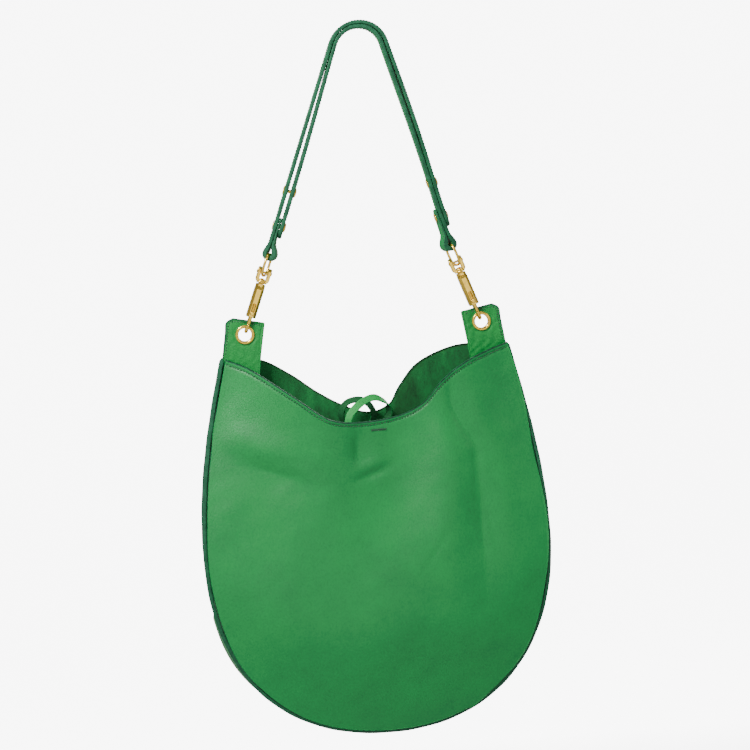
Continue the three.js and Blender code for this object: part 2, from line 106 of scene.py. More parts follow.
def smoothed(p, times):
    p = p.copy()
    for _ in range(times):
        p[1:-1] = 0.25 * p[:-2] + 0.5 * p[1:-1] + 0.25 * p[2:]
    return p


def makePiece(name, verts, faces, materials, body, faceMaterial=None, matrix=None, sharp=None):
    mesh = bpy.data.meshes.new(name)
    place = np.asarray(verts, float) * mm
    if matrix is not None:
        place = place @ np.array(matrix.to_3x3()).T + np.array(matrix.translation)
    mesh.from_pydata(place.tolist(), [], [list(map(int, f)) for f in faces])
    for material in materials:
        mesh.materials.append(material)
    if faceMaterial is not None:
        mesh.polygons.foreach_set("material_index", np.asarray(faceMaterial, np.int32))
    mesh.polygons.foreach_set("use_smooth", np.ones(len(mesh.polygons), bool))
    mesh.update()
    if sharp:
        mesh.set_sharp_from_angle(angle=math.radians(sharp))
    piece = bpy.data.objects.new(name, mesh)
    bpy.context.scene.collection.objects.link(piece)
    if body:
        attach(piece, body)
    return piece


def joined(parts):
    verts, faces, start = [], [], 0
    for v, f in parts:
        verts.append(np.asarray(v, float))
        faces += [[i + start for i in face] for face in f]
        start += len(v)
    return np.vstack(verts), faces


def gridFaces(rows, cols, closedRows=False, closedCols=False, start=0):
    faces = []
    for i in range(rows if closedRows else rows - 1):
        for j in range(cols if closedCols else cols - 1):
            a, b = start + i * cols + j, start + i * cols + (j + 1) % cols
            c, d = start + ((i + 1) % rows) * cols + (j + 1) % cols, start + ((i + 1) % rows) * cols + j
            faces.append([a, b, c, d])
    return faces


def sweep(points, sides, halfWidth, halfThick, corner=0.6, ring=5, flat=5, closedLoop=False):
    # a band or a wire: a rounded section carried along a line, its width along sides
    p = np.asarray(points, float)
    n = len(p)
    if closedLoop:
        along = unit(np.roll(p, -1, 0) - np.roll(p, 1, 0))
    else:
        along = unit(np.gradient(p, axis=0))
    side = np.broadcast_to(np.asarray(sides, float), p.shape)
    side = unit(side - along * np.sum(side * along, 1, keepdims=True))
    up = np.cross(along, side)
    w = np.broadcast_to(halfWidth, n)[:, None]
    h = np.broadcast_to(halfThick, n)[:, None]
    r = np.minimum(np.minimum(w, h) * 0.999, corner if np.isscalar(corner) else np.asarray(corner)[:, None])
    sectionW, sectionH = [], []
    for quarter, (sw, sh) in enumerate([(1, 1), (-1, 1), (-1, -1), (1, -1)]):
        for k in range(ring):
            angle = math.pi / 2 * (quarter + k / (ring - 1))
            sectionW.append(sw * (w - r) + r * math.cos(angle))
            sectionH.append(sh * (h - r) + r * math.sin(angle))
        if quarter in (0, 2) and flat > 1:      # extra points across the flat faces
            for k in range(1, flat):
                sectionW.append(sw * (w - r) * (1 - 2 * k / flat))
                sectionH.append(sh * (h - r) + r * (1 if quarter == 0 else -1))
    sw, sh = np.stack(sectionW, 1), np.stack(sectionH, 1)
    verts = p[:, None] + sw * side[:, None] + sh * up[:, None]
    count = sw.shape[1]
    faces = gridFaces(n, count, closedLoop, True)
    verts = verts.reshape(-1, 3)
    if not closedLoop:
        verts = np.vstack([verts, p[0], p[-1]])
        faces += [[n * count, (j + 1) % count, j] for j in range(count)]
        last = (n - 1) * count
        faces += [[n * count + 1, last + j, last + (j + 1) % count] for j in range(count)]
    return verts, [f[::-1] for f in faces]


def wire(points, radius, sides, segments=16, closedLoop=False):
    # a round rod along a line
    return sweep(points, sides, radius, radius, corner=99, ring=segments // 4 + 1, flat=1,
                 closedLoop=closedLoop)


def lathe(profile, segments=48, axis="Z"):
    # profile of (radius, height); it starts and ends on the axis, or closes on itself
    profile = np.asarray(profile, float)
    closes = np.allclose(profile[0], profile[-1])
    rows = profile[:-1] if closes else profile
    angle = np.linspace(0, 2 * math.pi, segments, endpoint=False)
    verts = np.stack([rows[:, :1] * np.cos(angle), rows[:, :1] * np.sin(angle),
                      np.repeat(rows[:, 1:], segments, 1)], -1).reshape(-1, 3)
    faces = gridFaces(len(rows), segments, closes, True)
    tidy = []
    for f in faces:
        keep = [f[0]]
        for i in f[1:]:
            if not np.allclose(verts[i], verts[keep[-1]]) and not np.allclose(verts[i], verts[keep[0]]):
                keep.append(i)
        if len(keep) > 2:
            tidy.append(keep)
    if axis == "Y":
        verts = verts[:, [0, 2, 1]] * [1, 1, -1]
    if axis == "X":
        verts = verts[:, [2, 0, 1]]
    return mergedPoles(verts, tidy)


def mergedPoles(verts, faces):
    key = {}
    index = np.zeros(len(verts), int)
    kept = []
    for i, v in enumerate(np.round(verts, 5)):
        k = tuple(v)
        if k not in key:
            key[k] = len(kept)
            kept.append(verts[i])
        index[i] = key[k]
    return np.array(kept), [[int(index[i]) for i in f] for f in faces]


def rounded(points, radius, steps=4):
    # a profile with its corners rounded
    p = np.asarray(points, float)
    out = [p[0]]
    for a, b, c in zip(p[:-2], p[1:-1], p[2:]):
        r = min(radius, np.linalg.norm(b - a) * 0.45, np.linalg.norm(c - b) * 0.45)
        start, end = b + unit(a - b) * r, b + unit(c - b) * r
        for t in np.linspace(0, 1, steps + 1):
            out.append((1 - t) ** 2 * start + 2 * t * (1 - t) * b + t * t * end)
    out.append(p[-1])
    return np.array(out)


def shell(surface, us, vs, near, far, edgeRound=0.45, relief=None):
    # surface(u, v) gives places; the sheet lies between two distances along its normal,
    # and relief(u, v, places) raises or sinks its outer face
    u, v = np.meshgrid(us, vs, indexing="ij")
    base = surface(u, v)
    e = 1e-3
    du = surface(np.minimum(u + e, us[-1]), v) - surface(np.maximum(u - e, us[0]), v)
    dv = surface(u, np.minimum(v + e, vs[-1])) - surface(u, np.maximum(v - e, vs[0]))
    normal = unit(np.cross(dv, du))
    nu, nv = u.shape
    raised = relief(u, v, base)[..., None] if relief else 0
    outer = (base + normal * (far + raised)).reshape(-1, 3)
    inner = (base + normal * near).reshape(-1, 3)
    loop = [(i, 0) for i in range(nu)] + [(nu - 1, j) for j in range(1, nv)]
    loop += [(i, nv - 1) for i in range(nu - 2, -1, -1)] + [(0, j) for j in range(nv - 2, 0, -1)]
    ids = np.array([i * nv + j for i, j in loop])
    rim = base.reshape(-1, 3)[ids]
    along = unit(np.roll(rim, -1, 0) - np.roll(rim, 1, 0))
    out = np.cross(normal.reshape(-1, 3)[ids], along)
    centre = base.reshape(-1, 3).mean(0)
    if np.sum(out * (rim - centre)) < 0:
        out = -out
    ring = (outer[ids] + inner[ids]) / 2 + out * edgeRound
    verts = np.vstack([outer, inner, ring])
    total = nu * nv
    faces = gridFaces(nu, nv)
    kinds = [0] * len(faces)
    faces += [[total + i for i in f[::-1]] for f in gridFaces(nu, nv)]
    kinds += [1] * (len(faces) - len(kinds))
    n = len(ids)
    for i in range(n):
        j = (i + 1) % n
        faces.append([ids[i], 2 * total + i, 2 * total + j, ids[j]])
        faces.append([total + ids[j], 2 * total + j, 2 * total + i, total + ids[i]])
        kinds += [2, 2]
    return verts, [f[::-1] for f in faces], kinds


def turnedOut(verts, faces):
    # the faces point outward when the volume is positive
    v = np.asarray(verts, float)
    v = v - v.mean(0)
    total = 0.0
    for f in faces:
        for k in range(1, len(f) - 1):
            total += np.dot(v[f[0]], np.cross(v[f[k]], v[f[k + 1]]))
    return [f[::-1] for f in faces] if total < 0 else faces


stitchLook = {"pitch": 3.2, "length": 2.3, "radius": 0.54, "lean": 0.16}


def stitchesAlong(points, normals, look=stitchLook):
    # short sewn stitches along a line that lies on a surface
    line, run = evenly(np.hstack([points, normals]), look["pitch"])
    place, up = line[:, :3], unit(line[:, 3:])
    along = unit(np.gradient(place, axis=0))
    side = np.cross(up, along)
    parts = []
    for k in range(len(place) - 1):
        middle = (place[k] + place[k + 1]) / 2
        a = unit(along[k] + side[k] * look["lean"])
        b = np.cross(up[k], a)
        t = np.linspace(-1, 1, 6)
        swell = np.sqrt(np.clip(1 - t ** 4, 0.02, 1))
        centre = middle + a * t[:, None] * look["length"] / 2 + up[k] * (0.18 - 0.42 * t[:, None] ** 4)
        angle = np.linspace(0, 2 * math.pi, 6, endpoint=False)
        rings = (centre[:, None] + (b * np.cos(angle)[:, None] + up[k] * np.sin(angle)[:, None])[None]
                 * (look["radius"] * swell)[:, None, None])
        faces = gridFaces(6, 6, False, True)
        faces += [[5, 4, 3, 2, 1, 0], [30, 31, 32, 33, 34, 35]]
        parts.append((rings.reshape(-1, 3), [f[::-1] for f in faces]))
    return joined(parts)


class Wire:
    # wraps a socket, so that shader maths reads as plain sums
    def __init__(self, tree, socket=None):
        self.tree, self.socket = tree, socket

    def make(self, kind, settings=None, inputs=None, output=0):
        node = self.tree.nodes.new(kind)
        for key, value in (settings or {}).items():
            setattr(node, key, value)
        for key, value in (inputs or {}).items():
            if isinstance(value, Wire):
                self.tree.links.new(value.socket, node.inputs[key])
            else:
                node.inputs[key].default_value = value
        return Wire(self.tree, node.outputs[output])

    def sum(self, operation, a, b=0.0):
        if self.socket.type == "VECTOR":
            b = b if isinstance(b, Wire) or isinstance(b, tuple) else (b, b, b)
            return self.make("ShaderNodeVectorMath", {"operation": operation}, {0: a, 1: b})
        return self.make("ShaderNodeMath", {"operation": operation}, {0: a, 1: b})

    def __add__(self, other):
        return self.sum("ADD", self, other)

    def __radd__(self, other):
        return self.sum("ADD", self, other)

    def __sub__(self, other):
        return self.sum("SUBTRACT", self, other)

    def __rsub__(self, other):
        return self.make("ShaderNodeMath", {"operation": "SUBTRACT"}, {0: other, 1: self})

    def __mul__(self, other):
        return self.sum("MULTIPLY", self, other)

    def __rmul__(self, other):
        return self.sum("MULTIPLY", self, other)

    def __pow__(self, other):
        return self.sum("POWER", self, other)

    def between(self, low, high, to=(0.0, 1.0)):
        return self.make("ShaderNodeMapRange", {"clamp": True},
                         {0: self, 1: low, 2: high, 3: to[0], 4: to[1]})

    def blend(self, first, second):
        # first colour where this is 0, second where it is 1
        return self.make("ShaderNodeMix", {"data_type": "RGBA"},
                         {0: self, 6: first if isinstance(first, Wire) else (*first, 1),
                          7: second if isinstance(second, Wire) else (*second, 1)}, 2)


def newMaterial(name, fixed):
    material = bpy.data.materials.new(name)
    material.use_nodes = True
    surface = material.node_tree.nodes["Principled BSDF"]
    for key, value in fixed.items():
        surface.inputs[key].default_value = value
    start = Wire(material.node_tree)
    place = start.make("ShaderNodeTexCoord", output=3)
    return material, surface, start, place


def feed(surface, start, **wires):
    names = {"colour": "Base Color", "roughness": "Roughness", "normal": "Normal", "coat": "Coat Weight",
             "metallic": "Metallic"}
    for key, wireIn in wires.items():
        start.tree.links.new(wireIn.socket, surface.inputs[names[key]])


def noise(start, place, size, detail=3.0, rough=0.5, stretch=(1, 1, 1)):
    # cloudy pattern with features of about this size in millimetres
    scale = 1 / (size * mm)
    spot = start.make("ShaderNodeMapping", {}, {0: place, 3: tuple(scale * s for s in stretch)})
    return start.make("ShaderNodeTexNoise", {},
                      {"Vector": spot, "Scale": 1.0, "Detail": detail, "Roughness": rough})


def cells(start, place, size):
    # soft round cells of about this size in millimetres
    spot = start.make("ShaderNodeMapping", {}, {0: place, 3: (1 / (size * mm),) * 3})
    return start.make("ShaderNodeTexVoronoi", {"feature": "SMOOTH_F1"}, {"Vector": spot, "Scale": 1.0})


leatherLook = {
    "panel": {"colour": (0.006, 0.225, 0.046), "deep": (0.004, 0.135, 0.031), "grain": 1.7,
              "grainDepth": 0.42,
              "roughness": 0.46, "wrinkle": 0.45},
    "gusset": {"colour": (0.006, 0.235, 0.038), "deep": (0.003, 0.115, 0.020), "grain": 1.8,
               "grainDepth": 0.55,
               "roughness": 0.50, "wrinkle": 0.9},
    "strap": {"colour": (0.006, 0.220, 0.050), "deep": (0.004, 0.130, 0.034), "grain": 1.2,
              "grainDepth": 0.25,
              "roughness": 0.58, "wrinkle": 0.2, "shine": 0.12},
    "lace": {"colour": (0.014, 0.330, 0.060), "deep": (0.008, 0.210, 0.040), "grain": 0.9, "grainDepth": 0.16,
             "roughness": 0.48, "wrinkle": 0.3},
    # the lace's suede side: its very dark colours are painted shade of the loop's shaded back, over the real suede
    "laceShadedSuede": {"colour": (0.004, 0.090, 0.022), "deep": (0.002, 0.045, 0.012), "grain": 0.7,
                 "grainDepth": 0.3,
                 "roughness": 0.85, "wrinkle": 0.3},
}


def leather(name):
    look = leatherLook[name]
    material, surface, start, place = newMaterial(f"{name}Leather", {
        "Coat Roughness": 0.35, "Sheen Weight": 0.0, "Specular IOR Level": look.get("shine", 0.28)})
    clouds = noise(start, place, 55, 3, 0.55)
    mottle = noise(start, place, 9, 4, 0.6)
    pebble = cells(start, place, look["grain"])
    pores = noise(start, place, look["grain"] * 0.45, 2, 0.5)
    creases = noise(start, place, 7, 5, 0.62, (1, 1, 1.7))
    shade = clouds.between(0.32, 0.70) * 0.40 + mottle.between(0.3, 0.75) * 0.18
    grainShade = pebble.between(0.35, 0.75, (0.0, 0.30))
    colour = (shade + grainShade).blend(look["colour"], look["deep"])
    height = (1 - pebble) * 0.55 + pores * 0.22 + creases * look["wrinkle"]
    relief = start.make("ShaderNodeBump", {}, {"Strength": look["grainDepth"], "Distance": 0.0007,
                                               "Height": height})
    feed(surface, start, colour=colour, normal=relief,
         roughness=mottle.between(0.25, 0.8, (look["roughness"] - 0.06, look["roughness"] + 0.08)),
         coat=clouds.between(0.3, 0.7, (0.0, 0.06)))
    return material


suedeLook = {"colour": (0.0040, 0.055, 0.015), "pale": (0.016, 0.200, 0.046)}


def suede():
    material, surface, start, place = newMaterial("suedeNap", {
        "Sheen Weight": 0.12, "Sheen Roughness": 0.55, "Specular IOR Level": 0.15})
    nap = noise(start, place, 1.6, 5, 0.75)
    brushed = noise(start, place, 14, 3, 0.6, (1, 1, 0.45))
    height = nap * 0.8 + brushed * 0.3
    relief = start.make("ShaderNodeBump", {}, {"Strength": 0.45, "Distance": 0.0006, "Height": height})
    feed(surface, start, colour=(brushed.between(0.35, 0.68) * 0.6 + nap.between(0.35, 0.7) * 0.4).blend(
        suedeLook["colour"], suedeLook["pale"]), normal=relief, roughness=nap.between(0.3, 0.7, (0.85, 0.98)))
    return material


edgeLook = {"colour": (0.004, 0.062, 0.026), "worn": (0.010, 0.110, 0.046)}


def edgePaint():
    material, surface, start, place = newMaterial("edgePaint",
                                                  {"Specular IOR Level": 0.25, "Coat Roughness": 0.35})
    streaks = noise(start, place, 6, 4, 0.6)
    fine = noise(start, place, 0.5, 3, 0.6)
    relief = start.make("ShaderNodeBump", {},
                        {"Strength": 0.22, "Distance": 0.0004, "Height": fine + streaks * 0.6})
    feed(surface, start, colour=streaks.between(0.42, 0.72).blend(edgeLook["colour"], edgeLook["worn"]),
         normal=relief, roughness=streaks.between(0.3, 0.7, (0.5, 0.65)),
         coat=fine.between(0.3, 0.7, (0.0, 0.06)))
    return material


def thread():
    material, surface, start, place = newMaterial("sewingThread", {"Sheen Weight": 0.15})
    twist = start.make("ShaderNodeTexWave", {"bands_direction": "DIAGONAL"},
                       {"Vector": place, "Scale": 900.0, "Distortion": 1.0})
    shade = noise(start, place, 2, 2, 0.5)
    relief = start.make("ShaderNodeBump", {}, {"Strength": 0.4, "Distance": 0.0002, "Height": twist})
    feed(surface, start, colour=shade.between(0.3, 0.7).blend((0.003, 0.045, 0.018), (0.006, 0.078, 0.030)),
         normal=relief, roughness=shade.between(0.2, 0.8, (0.5, 0.7)))
    return material


goldLook = {"colour": (0.930, 0.620, 0.090), "dull": (0.760, 0.470, 0.065), "roughness": 0.15}


def goldPlate():
    material, surface, start, place = newMaterial("goldPlate", {"Metallic": 1.0, "Specular IOR Level": 0.5})
    haze = noise(start, place, 5, 3, 0.6)
    hairlines = noise(start, place, 0.7, 3, 0.6, (1, 1, 0.12))
    relief = start.make("ShaderNodeBump", {}, {"Strength": 0.05, "Distance": 0.0003, "Height": hairlines})
    dulled = haze.between(0.3, 0.8) * 0.10 + hairlines.between(0.3, 0.8) * 0.08
    feed(surface, start, colour=haze.between(0.45, 0.8).blend(goldLook["colour"], goldLook["dull"]),
         normal=relief, roughness=dulled + goldLook["roughness"])
    return material


def springSteel():
    material, surface, start, place = newMaterial("springWire", {"Metallic": 1.0})
    drawn = noise(start, place, 0.4, 3, 0.6)
    relief = start.make("ShaderNodeBump", {}, {"Strength": 0.15, "Distance": 0.0002, "Height": drawn})
    feed(surface, start, colour=drawn.between(0.3, 0.7).blend((0.42, 0.41, 0.38), (0.58, 0.57, 0.54)),
         normal=relief, roughness=drawn.between(0.3, 0.7, (0.25, 0.4)))
    return material


panelLeather, gussetLeather, strapLeather, laceLeather, laceShadedUnderside = (
    leather(n) for n in ("panel", "gusset", "strap", "lace", "laceShadedSuede"))
suedeNap, edgeCoat, sewing, gold, steelWire = suede(), edgePaint(), thread(), goldPlate(), springSteel()
print("materials made")


shot = {"lens": 106.8, "distance": 2.4, "azimuth": -5.0, "elevation": 5.0, "roll": 3.0,
        "aimX": 0.0096, "aimZ": -0.370, "keyPower": 23.0, "sidePower": 6.0, "fillPower": 7.5,
        "cardPower": 7.0, "backPower": 30.0, "topPower": 12.0, "floorDrop": 0.42}

camera = bpy.data.objects.new("camera", bpy.data.cameras.new("camera"))
bpy.context.scene.collection.objects.link(camera)
bpy.context.scene.camera = camera
camera.data.lens = shot["lens"]
azimuth, elevation = math.radians(shot["azimuth"]), math.radians(shot["elevation"])
level = math.cos(elevation)
back = Vector((math.sin(azimuth) * level, -math.cos(azimuth) * level, math.sin(elevation)))
aim = Vector((shot["aimX"], 0, shot["aimZ"]))
camera.rotation_mode = "QUATERNION"
camera.location = aim + back * shot["distance"]
roll = Matrix.Rotation(math.radians(-shot["roll"]), 3, "Z")
camera.rotation_quaternion = ((-back).to_track_quat("-Z", "Y").to_matrix() @ roll).to_quaternion()


def areaLight(name, place, target, size, power):
    light = bpy.data.lights.new(name, "AREA")
    light.shape, light.size, light.size_y = "RECTANGLE", *size
    light.energy = power
    holder = bpy.data.objects.new(name, light)
    bpy.context.scene.collection.objects.link(holder)
    holder.location = place
    holder.visible_camera = False
    holder.rotation_mode = "QUATERNION"
    holder.rotation_quaternion = (Vector(target) - Vector(place)).to_track_quat("-Z", "Y")


areaLight("keyLight", (-0.62, -0.68, 0.38), (-0.04, 0, -0.40), (0.35, 0.35), shot["keyPower"])
areaLight("sideLight", (-2.3, -1.2, -0.2), (0, 0, -0.4), (1.4, 2.2), shot["sidePower"])
areaLight("fillLight", (1.6, -1.3, 0.6), (0, 0, -0.42), (0.8, 1.2), shot["fillPower"])
areaLight("frontCard", (0.2, -3.2, -0.45), (0, 0, -0.4), (1.2, 1.4), shot["cardPower"])
areaLight("backLight", (0.9, 2.2, 0.7), (0, 0, -0.4), (1.2, 1.2), shot["backPower"])
areaLight("topLight", (0.1, 0.1, 1.3), (0, 0, -0.4), (1.2, 1.0), shot["topPower"])

world = bpy.data.worlds.new("studio")
bpy.context.scene.world = world
world.use_nodes = True
worldWire = Wire(world.node_tree)
direction = worldWire.make("ShaderNodeTexCoord", output=0)
height = worldWire.make("ShaderNodeSeparateXYZ", {}, {0: direction}, 2)
sky = height.between(-0.5, 0.4).blend((0.95, 0.95, 0.95), (0.24, 0.24, 0.24))
world.node_tree.links.new(sky.socket, world.node_tree.nodes["Background"].inputs[0])
world.node_tree.nodes["Background"].inputs[1].default_value = 0.95


def backdrop():
    # pale floor that curves up into a wall behind
    floorZ = cadLow.z - shot["floorDrop"]
    run = [(-4.0, floorZ), (2.4, floorZ)]
    for a in np.linspace(0.1, math.pi / 2, 12):
        run.append((2.4 + 0.8 * math.sin(a), floorZ + 0.8 - 0.8 * math.cos(a)))
    run.append((3.2, 3.5))
    verts = np.array([[x, y, z] for y, z in run for x in (-4.5, 4.5)]) / mm
    material, surface, start, place = newMaterial("paleFloor", {
        "Roughness": 0.9, "Specular IOR Level": 0.1, "Emission Strength": 7.6})
    paper = noise(start, place, 30, 2, 0.5)
    # only the wall behind glows
    depth = start.make("ShaderNodeSeparateXYZ", {}, {0: place}, 1)
    glow = depth.between(0.6, 1.5).blend((0.03, 0.03, 0.03), (1.0, 1.0, 1.0))
    start.tree.links.new(glow.socket, surface.inputs["Emission Color"])
    feed(surface, start, colour=paper.between(0.3, 0.7).blend((0.86, 0.86, 0.86), (0.88, 0.88, 0.88)))
    floor = makePiece("floor", verts, [f[::-1] for f in gridFaces(len(run), 2)], [material], None)
    # the bright backdrop is only seen: it neither lights the bag nor glares on it
    floor.visible_glossy = floor.visible_diffuse = False


backdrop()
print("camera, light and floor made")


# each lace: its route, then the way its width lies at those points
laceShape = {"width": 8.2, "thickness": 1.6}
laceRoutes = {
    "front_lace": ([(-14, -9, -440), (-22, -10, -426), (-21, -9, -412), (-8, -6, -399), (6, -1, -394),
                    (16, 3, -397.5), (23, 7, -404), (23, 9, -415), (15, 8, -427)],
                   [(0.8, -0.3, 0.45), (0.95, -0.2, 0.05), (0.85, -0.3, -0.4), (0.55, -0.3, -0.8),
                    (0.15, -0.35, -0.9), (0.25, -0.6, -0.75), (0.5, -0.6, -0.6), (0.8, -0.6, -0.1),
                    (0.8, -0.6, 0.2)]),
    "back_lace": ([(-2, 10, -438), (-20, 9, -428), (-29, 5, -412), (-23, 4, -399), (-9, 6, -396),
                   (2, 9, -402), (7, 9, -414), (2, 7, -426)],
                  [(-0.5, 0.5, -0.6), (-0.7, 0.6, -0.3), (-0.8, 0.6, 0.1), (-0.6, 0.6, 0.5), (-0.1, 0.7, 0.7),
                    (0.5, 0.6, 0.5), (0.8, 0.6, 0.0), (0.8, 0.6, -0.2)]),
}


def makeLace(name, route, sides):
    t = np.linspace(0, 1, 90)
    line = catmull(route, t)
    even, run = evenly(line, 0.9)
    side = catmull(sides, np.linspace(0, 1, len(even)))
    taper = np.clip(np.minimum(run, run[-1] - run) / 1.2, 0.25, 1)
    verts, faces = sweep(even, side, laceShape["width"] / 2 * (0.97 + 0.03 * np.sin(run / 5)),
                         laceShape["thickness"] / 2 * taper, corner=0.5, flat=6)
    # the lace's inner face is its suede side, coloured much darker than the lace as painted shade where the loop's
    # back lies in shadow
    kinds = [1 if 2 <= i % 30 <= 12 else 0 for i in range(len(faces))]
    lace = makePiece(name + "_strip", verts, turnedOut(verts, faces), [laceLeather, laceShadedUnderside], "bag",
                     kinds)
    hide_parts(name)


for laceName, (route, sides) in laceRoutes.items():
    makeLace(laceName, route, sides)
print("laces made")


bodyShape = {
    "corner": (151, -343), "widest": (181.5, -546), "bottom": -746, "band": 84, "swell": 3, "cornerDepth": 2,
    "tied": 15, "gape": 14, "belly": 15, "sidePart": 0.83, "lining": (2.3, 3.1), "panel": (3.3, 5.3),
    "gussetThickness": 1.4, "sag": 7.0, "leftBulge": 8.0,
}
mouths = {
    "front": [(-151, 0), (-122, -13), (-81, -42), (-44, -69), (-8, -74), (30, -70), (58, -58),
              (80, -33), (104, -16), (129, -6), (151, 0)],
    "back": [(-151, 0), (-111, -5), (-80, -23), (-50, -46), (-5, -68), (24, -62), (40, -41),
             (60, -19), (93, -4), (120, 0), (151, 0)],
}


def bezier(a, b, c, d, t):
    t = t[:, None]
    a, b, c, d = (np.array(p, float) for p in (a, b, c, d))
    return (1 - t) ** 3 * a + 3 * t * (1 - t) ** 2 * b + 3 * t * t * (1 - t) * c + t ** 3 * d


def outlineTable():
    (cx, cz), (wx, wz), low = bodyShape["corner"], bodyShape["widest"], bodyShape["bottom"]
    t = np.linspace(0, 1, 200)
    upper = bezier((cx, cz), (cx + 17, cz - 67), (wx, wz + 70), (wx, wz), t)
    lower = bezier((wx, wz), (wx, wz - 115), (122, low), (0, low), t)
    line, run = evenly(np.vstack([upper, lower[1:]]), 0.5)
    return line, run / run[-1]


rimLine, rimShare = outlineTable()


def halfRim(k):
    return np.interp(k, rimShare, rimLine[:, 0]), np.interp(k, rimShare, rimLine[:, 1])


def seamHalfDepth(k):
    return mixValue(bodyShape["cornerDepth"], bodyShape["band"] / 2, smoothStep(k / 0.55))


softShape = {
    "foldX": 88, "foldShift": 24, "foldDepth": 6.0, "foldWidths": (21, 30), "foldLine": 0.28,
    "foldRidges": ((-34, 20, 0.16), (27, 15, 0.34)), "dentPlace": (-115, -463), "dentSlope": (0.917, 0.40),
    "dentWidths": (12, 26), "dentLength": 46, "dentDepth": 6.5, "tieHollow": 2.6, "backFold": 3.4,
    "backDent": 2.6,
}


def softForm(x, z, s, v, front):
    # how far the soft leather stands out (+) or falls in (-) from the plain form
    inside = np.clip(1 - s * s, 0, 1) ** 0.5 * np.clip(1 - v ** 6, 0, 1)
    top = smoothStep((-350 - z) / 60)
    out = bodyShape["sag"] * bump(z, -640, 85) * inside ** 2
    if front:
        # the long fold right of the middle, with a ridge on either side of it
        foldX = softShape["foldX"] + softShape["foldShift"] * smoothStep((-398 - z) / 62)
        fold = -bump(x, foldX, np.where(x < foldX, *softShape["foldWidths"]))
        fold = fold - softShape["foldLine"] * bump(x, foldX, 6)
        for aside, width, height in softShape["foldRidges"]:
            fold = fold + height * bump(x, foldX + aside, width)
        fold = fold * smoothStep((1 - np.abs(s)) / 0.2) * smoothStep((z + 650) / 150) * (0.3 + 0.7 * top)
        out = out + softShape["foldDepth"] * fold
        # the slanting dent on the left, then the hollow under the tie
        (dentX, dentZ), (cosine, sine) = softShape["dentPlace"], softShape["dentSlope"]
        away = (x - dentX) * cosine - (z - dentZ) * sine
        across = (x - dentX) * sine + (z - dentZ) * cosine
        dent = bump(across, 0, np.where(across > 0, *softShape["dentWidths"])) - 0.6 * bump(across, 24, 16)
        out = out - softShape["dentDepth"] * dent * bump(away, 0, softShape["dentLength"])
        out = out - softShape["tieHollow"] * bump(x, -13, 12) * bump(z, -448, 26)
        out = out + 1.6 * np.sin(x / 34 + z / 57) * np.sin(z / 43 + 0.6) + 0.8 * np.sin(x / 21 - z / 31)
    else:
        out = out - softShape["backFold"] * bump(x, -46 - 0.1 * (z + 400), 19) * smoothStep((z + 620) / 160)
        out = out - softShape["backDent"] * bump(x, 92, 40) * bump(z, -490, 24)
        out = out + 1.2 * np.sin(x / 28 - z / 51) * np.sin(z / 39) + 0.6 * np.sin(x / 15 + z / 33)
    return out * inside


# single creases of the front: middle, length and slope
creaseLines = ((106, -478, 30, 1.55), (120, -520, 30, 1.75), (96, -430, 20, 2.0),
               (-120, -462, 30, -0.25), (-84, -455, 26, -0.2), (60, -560, 30, 0.9))


def smallCreases(x, z, front):
    # fine crumples of the leather, up to about a millimetre high
    out = 0.10 * np.sin(x / 5.3 + 2.1 * np.sin(z / 17)) * np.sin(z / 7.1 + 1.3 * np.sin(x / 23))
    out = out + 0.12 * np.sin(x / 9.7 - z / 6.3 + 1.5 * np.sin(z / 31)) * np.sin(z / 13 + x / 41)
    if front:
        out = out - 2.0 * np.exp(-((x + 2) / 17) ** 2 - ((z + 474 - 0.3 * x) / 4.0) ** 2)
        out = out + 1.8 * np.exp(-((x + 2) / 19) ** 2 - ((z + 463 - 0.3 * x) / 6.5) ** 2)
        out = out - 1.2 * np.exp(-((x + 18) / 4.5) ** 2 - ((z + 448) / 17) ** 2)
        for middleX, middleZ, length, turn in creaseLines:
            alongC = (x - middleX) * math.cos(turn) + (z - middleZ) * math.sin(turn)
            acrossC = -(x - middleX) * math.sin(turn) + (z - middleZ) * math.cos(turn)
            out = out - 0.55 * np.exp(-(alongC / length) ** 2 - (acrossC / 3.4) ** 2)
    return out


def panelSurface(front):
    (cx, _), part = bodyShape["corner"], bodyShape["sidePart"]
    mouth = mouths["front" if front else "back"]
    endX, endZ = halfRim(part)

    def surface(s, v):
        sideX, sideZ = halfRim(v * part)
        lowX, lowZ = halfRim(1 - np.abs(s) * (1 - part))
        edge = catmull(mouth, (s + 1) / 2)
        x = s * sideX + (1 - v) * (edge[..., 0] - s * cx) + v * (np.sign(s) * lowX - s * endX)
        z = sideZ + (1 - v) * edge[..., 1] + v * (lowZ - endZ)
        gape = (bodyShape["tied"] - bodyShape["cornerDepth"]) * (1 - s * s)
        gape = gape + bodyShape["gape"] * np.sin(np.pi * s) ** 2
        swell = bodyShape["belly"] * (1 - s * s) * (1 - v ** 3)
        depth = seamHalfDepth(v * part) + mixValue(gape, swell, smoothStep(v / 0.5)) + bodyShape["lining"][0]
        depth = depth + softForm(x, z, s, v, front)
        return np.stack([x, -depth if front else depth, z], -1)

    return surface


# the sewn mouth edge: stitches lie this far below it, on a panel of about this height
sewLook = {"below": 3.8, "panelHigh": 350, "groove": 0.8, "lip": 0.2, "pucker": 0.17, "puckers": 330}


def panelRows():
    # closely spaced next to the mouth edge for the sewn turn, then even
    near = np.array([0, 0.6, 1.2, 1.8, 2.4, 3.0, 3.6, 4.2, 5, 6, 7.5, 9.5, 12]) / sewLook["panelHigh"]
    return np.concatenate([near, np.linspace(near[-1], 1, 130)[1:]])


